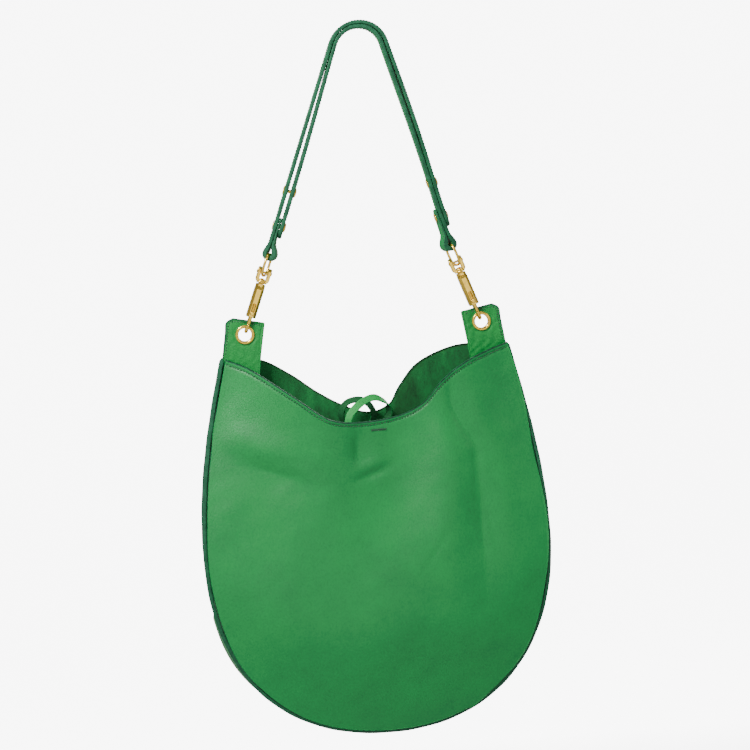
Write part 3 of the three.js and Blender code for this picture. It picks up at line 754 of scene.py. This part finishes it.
def makePanel(side):
    front = side == "front"
    plain = panelSurface(front)
    flip = 1 if front else -1

    def turned(u, v):
        return plain(flip * u, v)

    def sewn(u, v, p):
        # a shallow groove under the stitches, small puckers below it, then the leather's own crumples
        below = v * sewLook["panelHigh"]
        groove = -sewLook["groove"] * bump(below, sewLook["below"], 1.2)
        groove = groove - sewLook["lip"] * bump(below, 0, 0.9)
        puckers = sewLook["pucker"] * np.sin(u * sewLook["puckers"]) * bump(below, 6.2, 2.0)
        inside = smoothStep((below - 7) / 12) * smoothStep((1 - np.abs(u)) / 0.06)
        inside = inside * smoothStep((1 - v) / 0.04)
        return groove + puckers + smallCreases(p[..., 0], p[..., 2], front) * inside

    across, rows = np.linspace(-1, 1, 260), panelRows()
    verts, faces, kinds = shell(turned, across, rows, *bodyShape["panel"], relief=sewn)
    for i in range(len(across) - 1):         # the edge paint laps over the mouth's edge
        kinds[i * (len(rows) - 1)] = kinds[i * (len(rows) - 1) + 1] = 2
    panel = makePiece(f"{side}_panel_leather", verts, faces, [panelLeather, suedeNap, edgeCoat], "bag",
                      kinds)
    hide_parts(f"{side}_panel")

    liningRows = np.concatenate([[0, 0.006, 0.012], np.linspace(0.02, 1, 60)])
    verts, faces, kinds = shell(turned, np.linspace(-1, 1, 90), liningRows, *bodyShape["lining"],
                                edgeRound=0.3)
    lining = makePiece(f"{side}_suede", verts, faces, [suedeNap, suedeNap, edgeCoat], "bag",
                       kinds)
    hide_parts(f"{side}_lining")

    # the row of stitches below the mouth edge
    s = np.linspace(-0.985, 0.985, 400)
    e = 1e-3
    v = np.full_like(s, sewLook["below"] / sewLook["panelHigh"])
    place = turned(s, v)
    face = unit(np.cross(turned(s, v + e) - place, turned(s + e, v) - place))
    out = bodyShape["panel"][1] - 0.32
    verts, faces = stitchesAlong(place + face * out, face)
    makePiece(f"{side}_mouth_stitches", verts, faces, [sewing], "bag")


for side in ("front", "back"):
    makePanel(side)
print("panels, linings and mouth stitches made")


def rimAt(u):
    # the whole outline, from the right corner (0) round the bottom to the left one (1)
    x, z = halfRim(1 - np.abs(1 - 2 * u))
    return np.stack([np.where(u < 0.5, x, -x), z], -1)


def rimInward(u):
    e = 2e-3
    along = unit(rimAt(np.minimum(u + e, 1)) - rimAt(np.maximum(u - e, 0)))
    return np.stack([along[..., 1], -along[..., 0]], -1)


def gussetSurface(u, v):
    k = 1 - np.abs(1 - 2 * u)
    w = 2 * v - 1
    half = bodyShape["band"] / 2
    depth = np.minimum(seamHalfDepth(k), half)
    folded = np.sqrt(half ** 2 - depth ** 2)
    level = np.stack([np.where(u < 0.5, -1.0, 1.0), np.zeros_like(u)], -1)
    turn = smoothStep(k / 0.3)[..., None]
    inward = unit(rimInward(u) * turn + level * (1 - turn))
    push = folded - bodyShape["swell"] * smoothStep((k - 0.3) / 0.3)
    soft = 1.3 * np.sin(k * 37 + 2 * w) * (1 - w * w) * smoothStep(k / 0.2) * (0.4 + 0.6 * (folded / half))
    bulge = bodyShape["leftBulge"] * bump(u, 0.655, 0.13) + 3 * bump(u, 0.34, 0.12)
    rim = rimAt(u) + inward * ((push + soft - bulge) * (1 - w * w))[..., None]
    y = depth * mixValue(w, w * (2 - np.abs(w)), folded / half)
    return np.stack([rim[..., 0], y, rim[..., 1]], -1)


def makeGusset():
    start = 0.021                            # it begins just inside the mouth corners, behind the panels
    verts, faces, kinds = shell(gussetSurface, np.linspace(start, 1 - start, 420), np.linspace(0, 1, 29),
                                      0, bodyShape["gussetThickness"], edgeRound=0.3)
    gusset = makePiece("gusset_leather", verts, faces, [suedeNap, gussetLeather, edgeCoat], "bag",
                       kinds)
    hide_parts("gusset")


makeGusset()


seamShape = {"out": 2.7, "halfAcross": 2.2, "halfDeep": 2.8, "depth": 3.2}


def makeSeam(side):
    # painted edges of panel and gusset, standing out as one ridge
    sign = -1 if side == "front" else 1
    u = np.linspace(0.0, 1.0, 520)
    depth = seamHalfDepth(1 - np.abs(1 - 2 * u)) + seamShape["depth"]
    place = rimAt(u) - rimInward(u) * (seamShape["out"] + 0.12 * np.sin(u * 160))[:, None]
    line = np.stack([place[:, 0], sign * depth, place[:, 1]], 1)
    even, run = evenly(line, 1.7)
    ends = np.clip(np.minimum(run, run[-1] - run) / 3, 0.35, 1)
    verts, faces = sweep(even, (0, 1, 0), seamShape["halfDeep"] * ends, seamShape["halfAcross"] * ends,
                         corner=0.8, flat=2)
    seam = makePiece(f"{side}_seam_ridge", verts, turnedOut(verts, faces), [edgeCoat], "bag")
    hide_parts(f"{side}_seam_edge")


for side in ("front", "back"):
    makeSeam(side)
print("gusset and seam edges made")


tackShape = {"x": 7.0, "z": -426.5, "width": 18.6, "height": 2.6}


def makeTack():
    # the bar of close stitches that holds the lace inside the front panel
    surface = panelSurface(True)
    u, v = np.meshgrid(np.linspace(-0.15, 0.25, 400), np.linspace(0, 0.12, 200), indexing="ij")
    grid = surface(u, v)
    line = []
    for x in np.linspace(-tackShape["width"] / 2, tackShape["width"] / 2, 12) + tackShape["x"]:
        miss = (grid[..., 0] - x) ** 2 + (grid[..., 2] - tackShape["z"]) ** 2
        line.append(grid[np.unravel_index(np.argmin(miss), miss.shape)])
    line = smoothed(np.array(line), 2) - np.array([0, bodyShape["panel"][1] + 0.15, 0])
    line, run = evenly(line, 0.62)
    parts = []
    for k, p in enumerate(line):
        lean = 0.35 if k % 2 else -0.35
        ends = np.array([[p[0] - lean, p[1] + 0.1, p[2] - tackShape["height"] / 2],
                         [p[0], p[1] - 0.35, p[2]],
                         [p[0] + lean, p[1] + 0.1, p[2] + tackShape["height"] / 2]])
        even, _ = evenly(catmull(ends, np.linspace(0, 1, 8)), 0.35)
        parts.append(wire(even, 0.3, (1, 0, 0), 8))
    verts, faces = joined(parts)
    makePiece("front_bar_tack", verts, faces, [sewing], "bag")


makeTack()
print("bar tack made")


tabShape = {"thickness": 2.6, "stitchInset": 3.2, "foot": -372}
clipShape = {"eyeletX": 127.8, "eyeletZ": -318.4, "lean": math.radians(20.6), "hookRadius": 5.0, "wire": 1.9,
             "hookCentre": 8.7, "hookTip": 11.7, "barrelBottom": 19.8, "barrelTop": 57.0, "pin": 69.9,
             "ringBottom": 66.4, "ringTop": 90.2, "ringTurn": math.radians(15), "loopAlong": 90.6}


def tabOutline(sign):
    # from the inner foot round the top to the outer foot; the outer top corner is round
    points = [(115.5, tabShape["foot"]), (111.5, -341), (105.7, -306.6), (140, -299.7), (148.3, -303.5),
              (149.2, -315), (153.3, -341), (156.5, tabShape["foot"])]
    line = np.vstack([rounded(points[:3] + [points[3]], 1.6)[:-1], rounded(points[3:6], 9, 8), points[6:]])
    line[:, 0] *= sign
    return line


def makeTab(name, sign):
    # a flat leather tongue with a soft edge: rings shrink from the outline to the eyelet
    outline, _ = evenly(np.vstack([tabOutline(sign), tabOutline(sign)[:1]]), 1.2)
    outline = outline[:-1]
    hole = np.array([sign * clipShape["eyeletX"], clipShape["eyeletZ"]])
    toHole = outline - hole
    angle = np.arctan2(toHole[:, 1], toHole[:, 0])
    inner = hole + 8.4 * np.stack([np.cos(angle), np.sin(angle)], 1)
    half = tabShape["thickness"] / 2
    rings = []
    steps = [0, 0.004, 0.012, 0.025, 0.045, 0.07] + list(np.linspace(0.09, 1, 40))
    for t in steps:
        flat = mixValue(outline, inner, t)
        inset = np.linalg.norm(flat - outline, axis=1)
        rise = half * np.sqrt(np.clip(1 - (1 - np.clip(inset / 0.7, 0, 1)) ** 2, 0.0, 1))
        groove = 0.45 * bump(inset, tabShape["stitchInset"], 0.75)
        wrinkle = 0.34 * np.sin(flat[:, 0] / 1.7 + 1.9 * np.sin(flat[:, 1] / 4.1))
        wrinkle = wrinkle * np.sin(flat[:, 1] / 2.3 + 0.4 * np.sin(flat[:, 0] / 2.9))
        press = 0.35 * bump(np.linalg.norm(flat - hole, axis=1), 11.5, 1.6)
        body = smoothStep((inset - 0.7) / 4)
        rings.append(np.stack([flat[:, 0],
                               -(rise - groove - press + wrinkle * body * (1.0 if sign > 0 else 0.5)),
                               flat[:, 1]], 1))
    n = len(outline)
    front = np.vstack(rings)
    verts = np.vstack([front, front[n:] * [1, -1, 1]])
    faces = gridFaces(len(steps), n, False, True)
    total = len(steps) * n
    shown = [0] * len(faces)
    backIds = lambda i, j: i * n + j if i == 0 else total + (i - 1) * n + j
    for i in range(len(steps) - 1):
        for j in range(n):
            k = (j + 1) % n
            faces.append([backIds(i, j), backIds(i + 1, j), backIds(i + 1, k), backIds(i, k)])
            shown.append(0)
    for j in range(n):
        k = (j + 1) % n
        last = len(steps) - 1
        faces.append([last * n + j, last * n + k, backIds(last, k), backIds(last, j)])
        shown.append(1)
    around = (len(steps) - 1) * n
    for index in range(2 * around):          # paint laps 2 mm over the outer side and the top
        row, column = (index % around) // n, index % n
        inset = np.linalg.norm(inner[column] - outline[column]) * steps[row + 1]
        if inset < 2.0 and (outline[column, 0] * sign > 116 or outline[column, 1] > -304):
            shown[index] = 1
    faces = turnedOut(verts, faces)
    tab = makePiece(f"{name}_tab_leather", verts, faces, [gussetLeather, edgeCoat], None,
                    shown)
    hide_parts(f"{name}_tab")
    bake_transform(tab)

    # stitches along the outer side and the top
    keep = outline[((outline[:, 0] * sign > 120) | (outline[:, 1] > -308)) & (outline[:, 1] > -339)]
    keep = keep[keep[:, 0] * sign > 109]
    order = np.argsort(np.arctan2(keep[:, 1] + 330, keep[:, 0] * sign - 118))
    line = keep[order]
    inward = unit(hole - line)
    along = unit(np.gradient(line, axis=0))
    normal = np.stack([-along[:, 1], along[:, 0]], 1)
    normal *= np.sign(np.sum(normal * inward, 1))[:, None]
    line = line + normal * tabShape["stitchInset"]
    for face in (-1, 1):
        place = np.stack([line[:, 0], np.full(len(line), face * (half - 0.22)), line[:, 1]], 1)
        verts, faces = stitchesAlong(smoothed(place, 3), np.tile([0, face, 0], (len(place), 1)))
        label = "front" if face < 0 else "back"
        makePiece(f"{name}_tab_stitches_{label}", verts, faces, [sewing], "tabs")


def makeEyelet(name, sign):
    place = Matrix.Translation((sign * clipShape["eyeletX"] * mm, 0, clipShape["eyeletZ"] * mm))
    front = rounded([(7.0, 2.1), (7.0, -1.7), (7.5, -2.5), (8.7, -2.9), (9.8, -2.6), (10.3, -1.9),
                     (10.2, -1.2),
                     (8.3, -1.2), (8.2, 2.1), (7.0, 2.1)], 0.5)
    verts, faces = lathe(np.vstack([front, front[:1]]), 72, "Y")
    piece = makePiece(f"{name}_eyelet_flange", verts, turnedOut(verts, faces), [gold], "tabs",
                      matrix=place, sharp=50)
    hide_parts(f"{name}_eyelet_front")
    behind = rounded([(8.45, 1.32), (11, 1.35), (10.8, 2.05), (9.8, 2.35), (8.6, 2.3), (8.45, 1.32)], 0.35)
    verts, faces = lathe(np.vstack([behind, behind[:1]]), 72, "Y")
    piece = makePiece(f"{name}_eyelet_washer", verts, turnedOut(verts, faces), [gold], "tabs",
                      matrix=place, sharp=50)
    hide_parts(f"{name}_eyelet_back")


def clipPlace(sign):
    place = Matrix.Translation((sign * clipShape["eyeletX"] * mm, 0, clipShape["eyeletZ"] * mm))
    return place @ Matrix.Rotation(-sign * clipShape["lean"], 4, "Y")


def cutWith(piece, tools):
    # boolean cuts, applied at once
    for tool in tools:
        cutter = bpy.data.objects.new("cutter", bpy.data.meshes.new("cutter"))
        cutter.data.from_pydata((np.asarray(tool[0]) * mm).tolist(), [], [list(f) for f in tool[1]])
        bpy.context.scene.collection.objects.link(cutter)
        change = piece.modifiers.new("cut", "BOOLEAN")
        change.operation, change.solver, change.object = "DIFFERENCE", "EXACT", cutter
        applyModifiers(piece)
        bpy.data.objects.remove(cutter)


def applyModifiers(piece):
    bpy.context.view_layer.update()
    graph = bpy.context.evaluated_depsgraph_get()
    mesh = bpy.data.meshes.new_from_object(piece.evaluated_get(graph))
    piece.modifiers.clear()
    piece.data = mesh


def bevelled(piece, width, segments=3, angle=30):
    change = piece.modifiers.new("bevel", "BEVEL")
    change.width, change.segments, change.limit_method = width * mm, segments, "ANGLE"
    change.angle_limit, change.harden_normals = math.radians(angle), False
    applyModifiers(piece)
    piece.data.polygons.foreach_set("use_smooth", np.ones(len(piece.data.polygons), bool))
    piece.data.set_sharp_from_angle(angle=math.radians(35))


def rodAlong(axis, radius, start, end, centre=(0, 0, 0), segments=32):
    verts, faces = lathe([(0, start), (radius, start), (radius, end), (0, end)], segments, axis)
    return verts + np.array(centre), turnedOut(verts, faces)


def placed(piece, matrix, body):
    piece.data.transform(matrix)
    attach(piece, body)


def makeClip(name, sign):
    s = clipShape
    place = clipPlace(sign)
    front, backY, low, top = -8.0, 7.0, s["barrelBottom"], s["barrelTop"]

    # barrel: a squared bar with broad chamfers, drawn in to a collar at the top
    levels = [(low, 4.9, front + 0.5, backY - 0.4), (low + 0.8, 5.3, front, backY), (51, 5.3, front, backY),
              (53.4, 5.2, -6.4, 6.2), (54.6, 5.1, -5.3, 5.3), (top, 5.1, -5.2, 5.2)]
    rings = []
    for z, half, y0, y1 in levels:
        chamfer = 2.9
        corners = [(-half + chamfer, y0), (half - chamfer, y0), (half, y0 + chamfer), (half, y1 - chamfer),
                   (half - chamfer, y1), (-half + chamfer, y1), (-half, y1 - chamfer), (-half, y0 + chamfer)]
        rings.append([(x, y, z) for x, y in corners])
    verts = np.array(rings).reshape(-1, 3)
    capEnds = [list(range(8))[::-1], [8 * len(levels) - 8 + i for i in range(8)]]
    faces = gridFaces(len(levels), 8, False, True) + capEnds
    faces = turnedOut(verts, faces)
    body = makePiece(f"{name}_clip_barrel", verts, faces, [gold], None)
    bore = rodAlong("Z", 2.25, low - 2, 50, (0, -s["hookRadius"], 0))
    slot = sweep(np.array([[0, -5.0, 22.4], [0, -12.0, 22.4]]) + [0, 0, 6.6], (1, 0, 0), 1.75, 6.6,
                 corner=1.7, flat=1)
    slot = (slot[0], turnedOut(*slot))
    cutWith(body, [bore, slot, rodAlong("Z", 1.8, top - 4.3, top + 2)])
    bevelled(body, 0.35)

    # hook: a round wire from the back of the barrel, down and forward through the eyelet
    r, centre = s["hookRadius"], s["hookCentre"]
    angle = np.linspace(0, -math.pi, 22)
    bend = np.stack([np.zeros(22), r * np.cos(angle), centre + r * np.sin(angle)], 1)
    line = np.vstack([[[0, r, low + 6]], [[0, r, low]], bend, [[0, -r, s["hookTip"]]]])
    line, run = evenly(line, 0.7)
    thick = s["wire"] * np.where(run > run[-1] - 0.5, 0.9, 1) * mixValue(1.1, 1.0, smoothStep(run / 14))
    verts, faces = wire(line, thick, (1, 0, 0), 20)
    hookMesh = bpy.data.meshes.new("hook")
    hookMesh.from_pydata((verts * mm).tolist(), [], turnedOut(verts, faces))
    hookMesh.materials.append(gold)
    hookMesh.polygons.foreach_set("use_smooth", np.ones(len(hookMesh.polygons), bool))
    hook = bpy.data.objects.new("hook", hookMesh)
    bpy.context.scene.collection.objects.link(hook)
    change = body.modifiers.new("join", "BOOLEAN")
    change.operation, change.solver, change.object = "UNION", "EXACT", hook
    applyModifiers(body)
    bpy.data.objects.remove(hook)
    body.data.set_sharp_from_angle(angle=math.radians(35))
    change = body.modifiers.new("flatFaces", "WEIGHTED_NORMAL")
    change.keep_sharp = True
    applyModifiers(body)
    placed(body, place, f"{name}_clip")
    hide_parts(f"{name}_clip_body")

    # bolt with its thumb knob
    shaft = lathe(rounded([(0, s["hookTip"] + 0.3), (1.9, s["hookTip"] + 0.3), (1.9, 38), (0, 38)], 0.5), 32)
    knob = lathe(rounded([(0, 6.2), (1.2, 6.2), (1.25, 9.0), (2.3, 9.4), (2.5, 10.4), (2.0, 11.2), (0, 11.3)],
                         0.4), 32, "Y")
    knob = (knob[0] * [1, -1, 1] + [0, 0, 24.3], knob[1])
    verts, faces = joined([(shaft[0] + [0, -r, 0], turnedOut(*shaft)), (knob[0], turnedOut(*knob))])
    bolt = makePiece(f"{name}_clip_plunger", verts, faces, [gold], None, sharp=40)
    placed(bolt, place, f"{name}_bolt")
    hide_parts(f"{name}_clip_bolt")

    # spring in the bore
    t = np.linspace(0, 1, 220)
    coil = np.stack([1.55 * np.cos(t * 12 * math.pi), 1.55 * np.sin(t * 12 * math.pi) - r,
                     mixValue(38.6, 49.3, t)], 1)
    verts, faces = wire(coil, 0.28, (0, 0, 1), 8)
    spring = makePiece(f"{name}_clip_coil", verts, turnedOut(verts, faces), [steelWire], None)
    placed(spring, place, f"{name}_clip")
    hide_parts(f"{name}_clip_spring")
    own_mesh(spring)

    # swivel rivet
    profile = rounded([(0, 53.0), (1.5, 53.0), (1.5, 57.3), (3.4, 57.2), (3.4, 57.7), (1.5, 57.8),
                       (1.5, 62.7),
                       (2.7, 62.7), (2.3, 63.3), (0, 63.4)], 0.2)
    verts, faces = lathe(profile, 32)
    rivet = makePiece(f"{name}_swivel_rivet", verts, turnedOut(verts, faces), [gold], None,
                      sharp=40)
    placed(rivet, place, f"{name}_clip")
    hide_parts(f"{name}_clip_rivet")

    # yoke: one flat bar bent to a fork, with rounded ears
    path = rounded([(-5.45, 75.4), (-5.45, 60.3), (5.45, 60.3), (5.45, 75.4)], 2.6, 8)
    line, run = evenly(np.stack([path[:, 0], np.zeros(len(path)), path[:, 1]], 1), 0.5)
    fromEar = np.minimum(run, run[-1] - run)
    ear = 3.7 * np.sqrt(np.clip(1 - (1 - np.clip(fromEar / 4.0, 0, 1)) ** 2, 0.004, 1))
    verts, faces = sweep(line, (0, 1, 0), ear, np.minimum(2.05, ear), corner=0.6, flat=3)
    seat = rounded([(0, 57.9), (5.7, 57.9), (5.7, 59.5), (5.1, 59.9), (5.5, 60.3), (5.5, 61.4), (4.6, 62.3),
                    (0, 62.3)], 0.3)
    seat = lathe(seat, 40)
    verts, faces = joined([(verts, turnedOut(verts, faces)), (seat[0], turnedOut(*seat))])
    yoke = makePiece(f"{name}_yoke_fork", verts, faces, [gold], None)
    yoke.data.polygons.foreach_set("use_smooth", np.ones(len(yoke.data.polygons), bool))
    yoke.data.set_sharp_from_angle(angle=math.radians(40))
    placed(yoke, place, "yokes")
    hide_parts(f"{name}_yoke")

    # cross pin with domed ends
    profile = [(0, -8.5), (1.2, -8.35), (2.0, -7.8), (2.1, -7.55), (1.3, -7.5), (1.3, 7.5), (2.1, 7.55),
               (2.0, 7.8),
               (1.2, 8.35), (0, 8.5)]
    verts, faces = lathe(profile, 28, "X")
    verts = verts + np.array([0, 0, s["pin"]])
    pin = makePiece(f"{name}_yoke_rivet", verts, turnedOut(verts, faces), [gold], None,
                    sharp=40)
    placed(pin, place, "yokes")
    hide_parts(f"{name}_yoke_pin")

    # oval wire ring between yoke and strap
    angle = np.linspace(0, 2 * math.pi, 96, endpoint=False)
    halfHigh, middle = (s["ringTop"] - s["ringBottom"]) / 2, (s["ringTop"] + s["ringBottom"]) / 2
    across = 12.0 * np.sign(np.cos(angle)) * np.abs(np.cos(angle)) ** 0.62
    up = middle + halfHigh * np.sign(np.sin(angle)) * np.abs(np.sin(angle)) ** 0.8
    line, _ = evenly(np.vstack([np.stack([np.zeros(96), across, up], 1), [[0, across[0], up[0]]]]), 0.8)
    verts, faces = wire(line[:-1], 1.5, (1, 0, 0), 18, closedLoop=True)
    ring = makePiece(f"{name}_ring_wire", verts, turnedOut(verts, faces), [gold], None)
    placed(ring, place @ Matrix.Rotation(sign * s["ringTurn"], 4, "Z"), "strap")
    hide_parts(f"{name}_ring")


for name, sign in (("left", -1), ("right", 1)):
    makeTab(name, sign)
    makeEyelet(name, sign)
    makeClip(name, sign)
print("tabs, eyelets, clips and rings made")


strapShape = {"width": 18.0, "thickness": 3.9, "tail": 2.4, "loop": 4.8, "loopRadius": 5.4,
              "archRadius": 28.0,
              "archZ": -22.8, "lean": 9.0, "leanFrom": -205.0, "throat": 10.0, "tailLength": 40.0,
              "tip": 18.0,
              "stack": 78.0, "gap": 0.5, "slack": 1.2, "stitchInset": 2.4,
              "endTurn": math.radians(11), "turnLength": 48.0}
studShape = {"places": (31, 69), "head": 5.7, "cap": 4.7, "height": 2.3}

loopX = clipShape["eyeletX"] - math.sin(clipShape["lean"]) * clipShape["loopAlong"]
loopZ = clipShape["eyeletZ"] + math.cos(clipShape["lean"]) * clipShape["loopAlong"]
toLoop = (loopX, loopZ - strapShape["archZ"])
armTilt = math.acos(strapShape["archRadius"] / math.hypot(*toLoop)) - math.atan2(-toLoop[1], toLoop[0])
armLength = math.sqrt(math.hypot(*toLoop) ** 2 - strapShape["archRadius"] ** 2)
lineLength = 2 * armLength + strapShape["archRadius"] * (math.pi - 2 * armTilt)


def archPoint(distance, offset):
    # the strap's middle line from the left ring to the right one, moved outward by an offset
    fromEnd = min(distance, lineLength - distance)
    if fromEnd < armLength:
        x = loopX - math.sin(armTilt) * fromEnd + math.cos(armTilt) * offset
        z = loopZ + math.cos(armTilt) * fromEnd + math.sin(armTilt) * offset
    else:
        angle = armTilt + (fromEnd - armLength) / strapShape["archRadius"]
        x = math.cos(angle) * (strapShape["archRadius"] + offset)
        z = math.sin(angle) * (strapShape["archRadius"] + offset) + strapShape["archZ"]
    rise = (z - strapShape["leanFrom"]) / (strapShape["archZ"] - strapShape["leanFrom"])
    side = 1 if distance > lineLength / 2 else -1
    return np.array([side * x + strapShape["lean"] * min(max(rise, 0), 1.15), z])


def twisted(verts):
    # each end of the strap turns a little about its own length, square to the ring it holds
    verts = np.array(verts, float)
    for sign in (-1, 1):
        here = verts[:, 0] * sign > 60
        start = np.array([sign * loopX, 0, loopZ])
        along = np.array([-sign * math.sin(armTilt), 0, math.cos(armTilt)])
        part = verts[here] - start
        up = part @ along
        turn = sign * strapShape["endTurn"] * smoothStep((strapShape["turnLength"] - up) / strapShape["turnLength"])
        out = part - up[:, None] * along
        side = np.cross(along, out)
        out = out * np.cos(turn)[:, None] + side * np.sin(turn)[:, None]
        verts[here] = start + up[:, None] * along + out
    return verts


stackOffset = (strapShape["thickness"] + strapShape["gap"]) / 2
underTail = -(strapShape["tail"] + 1.5 * strapShape["gap"] + strapShape["thickness"] / 2)
strands = {
    "outer_strap": {"left": stackOffset, "right": stackOffset + strapShape["thickness"] + strapShape["gap"],
                    "top": stackOffset, "loop": -1},
    "inner_strap": {"left": underTail, "right": stackOffset, "top": -stackOffset, "loop": 1},
}


def strandLine(strand):
    # points and half thicknesses from the free tip, over the arch, round the ring and back up
    line, thick = [], []
    atLoop = strand["loop"] < 0

    def put(fromLoop, offset, thickness):
        line.append(archPoint(fromLoop if atLoop else lineLength - fromLoop, offset))
        thick.append(thickness / 2)

    for fromLoop in np.linspace(lineLength - strapShape["tip"], strapShape["throat"], 200):
        distance = fromLoop if atLoop else lineLength - fromLoop
        half = lineLength / 2
        fromStack = min(distance, lineLength - distance) - strapShape["stack"]
        toApex = min(max(fromStack / (half - strapShape["stack"]), 0), 1)
        end = strand["left"] if distance < half else strand["right"]
        loose = strapShape["slack"] * math.sin(math.pi * toApex) if atLoop and distance > half else 0
        put(fromLoop, mixValue(end, strand["top"], float(smoothStep(toApex))) + loose,
            strapShape["thickness"])
    put(strapShape["throat"] * 0.5, mixValue(stackOffset, strapShape["loopRadius"], 0.5), strapShape["loop"])
    for angle in np.linspace(0, -math.pi, 17):
        put(strapShape["loopRadius"] * math.sin(angle), strapShape["loopRadius"] * math.cos(angle),
            strapShape["loop"])
    tail = -(strapShape["tail"] + strapShape["gap"]) / 2
    put(strapShape["throat"] * 0.5, mixValue(tail, -strapShape["loopRadius"], 0.5), strapShape["loop"])
    for fromLoop in np.linspace(strapShape["throat"], strapShape["tailLength"], 12):
        put(fromLoop, tail, strapShape["tail"])
    both = np.column_stack([np.array(line), thick])
    both, run = evenly(both, 1.0)
    both[:, 2] = smoothed(both[:, 2:3], 8)[:, 0]
    return smoothed(both[:, :2], 6), both[:, 2], run


def makeStrand(name, strand):
    line, thick, run = strandLine(strand)
    points = np.stack([line[:, 0], np.zeros(len(line)), line[:, 1]], 1)
    half = strapShape["width"] / 2
    # both ends are cut round; the tail's end is only eased at its corners
    tipRun, tailRun = run, run[-1] - run
    wide = half * np.sqrt(np.clip(1 - (1 - np.clip(tipRun / half, 0, 1)) ** 2, 0.002, 1))
    wide = np.minimum(wide, half - 3 + 3 * np.sqrt(np.clip(1 - (1 - np.clip(tailRun / 3, 0, 1)) ** 2, 0, 1)))
    thin = thick * np.clip(np.minimum(tipRun, tailRun) / 1.0 + 0.35, 0.35, 1)
    verts, faces = sweep(points, (0, 1, 0), wide, np.minimum(thin, wide), corner=0.85, flat=8)
    faces = turnedOut(verts, faces)
    # the painted edge covers the sides, the leather the two faces
    count = (len(verts) - 2) // len(points)
    acrossY = np.abs(verts[:, 1])
    limit = np.concatenate([np.repeat(wide, count), [0, 0]]) - 0.62
    kinds = [1 if np.mean([acrossY[i] > limit[i] for i in f]) > 0.6 else 0 for f in faces]
    piece = makePiece(f"{name}_leather", twisted(verts), faces, [strapLeather, edgeCoat], "strap",
                      kinds)
    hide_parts(name)

    # a row of stitches along each edge, on both faces
    along = unit(np.gradient(points, axis=0))
    up = np.cross(along, [0, 1, 0])
    body = (run > 7) & (run < run[-1] - 3)
    parts = []
    for edge in (-1, 1):
        inset = (wide - strapShape["stitchInset"])[:, None]
        for face in (-1, 1):
            place = points + np.array([0, edge, 0]) * inset + up * (face * (thick - 0.22))[:, None]
            parts.append(stitchesAlong(place[body], face * up[body]))
    verts, faces = joined(parts)
    makePiece(f"{name}_stitches", twisted(verts), faces, [sewing], "strap")


for strandName, strand in strands.items():
    makeStrand(strandName, strand)
print("strap strands made")


def makeStud(side, sign, level, position):
    # a screw stud: domed head on one face of the stack, flat cap on the other
    base = archPoint(position if sign < 0 else lineLength - position, 0)
    outward = archPoint(position if sign < 0 else lineLength - position, 1) - base
    half, gap = strapShape["thickness"] / 2, 0.05
    tailFace = -(strapShape["tail"] + strapShape["gap"] / 2)
    underside = strapShape["gap"] / 2 if position > strapShape["tailLength"] else tailFace
    if sign < 0:
        headFace = strands["inner_strap"]["left"] - half - gap
        capFace = strands["outer_strap"]["left"] + half + gap
    else:
        headFace, capFace = strands["outer_strap"]["right"] + half + gap, underside - gap
    out = math.copysign(1, headFace - capFace)
    up = Vector((outward[0] * out, 0, outward[1] * out)).normalized()
    turn = up.to_track_quat("Z", "Y").to_matrix().to_4x4()

    def at(offset):
        # the stud turns with the strap it goes through
        here = np.array([base[0] + outward[0] * offset, 0, base[1] + outward[1] * offset])
        axes = np.array([[0, 0, 0], *np.array(turn.to_3x3()).T]) + here
        moved = twisted(axes)
        frame3 = Matrix([list(row) for row in (moved[1:] - moved[0]).T]).to_4x4()
        return Matrix.Translation(Vector(moved[0]) * mm) @ frame3

    length = abs(headFace - capFace)
    head, high = studShape["head"], studShape["height"]
    dome = [(0, -length - 0.9), (1.95, -length - 0.9), (1.95, 0), (head - 0.3, 0), (head, 0.45),
            (head - 0.5, 1.0),
            (head * 0.72, high * 0.78), (head * 0.4, high * 0.96), (0, high)]
    verts, faces = lathe(rounded(dome, 0.35), 48)
    stud = makePiece(f"{side}_{level}_stud_head", verts, turnedOut(verts, faces), [gold], None,
                     sharp=45)
    placed(stud, at(headFace), "strap")
    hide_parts(f"{side}_{level}_stud")
    cap = studShape["cap"]
    profile = rounded([(2.1, 0), (cap, 0), (cap, -0.9), (cap - 0.6, -1.3), (2.1, -1.3), (2.1, 0)], 0.3)
    verts, faces = lathe(np.vstack([profile, profile[:1]]), 40)
    piece = makePiece(f"{side}_{level}_stud_washer", verts, turnedOut(verts, faces), [gold], None,
                      sharp=45)
    placed(piece, at(capFace), "strap")
    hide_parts(f"{side}_{level}_stud_cap")


for side, sign in (("left", -1), ("right", 1)):
    for level, position in zip(("lower", "upper"), studShape["places"]):
        makeStud(side, sign, level, position)
print("studs made")
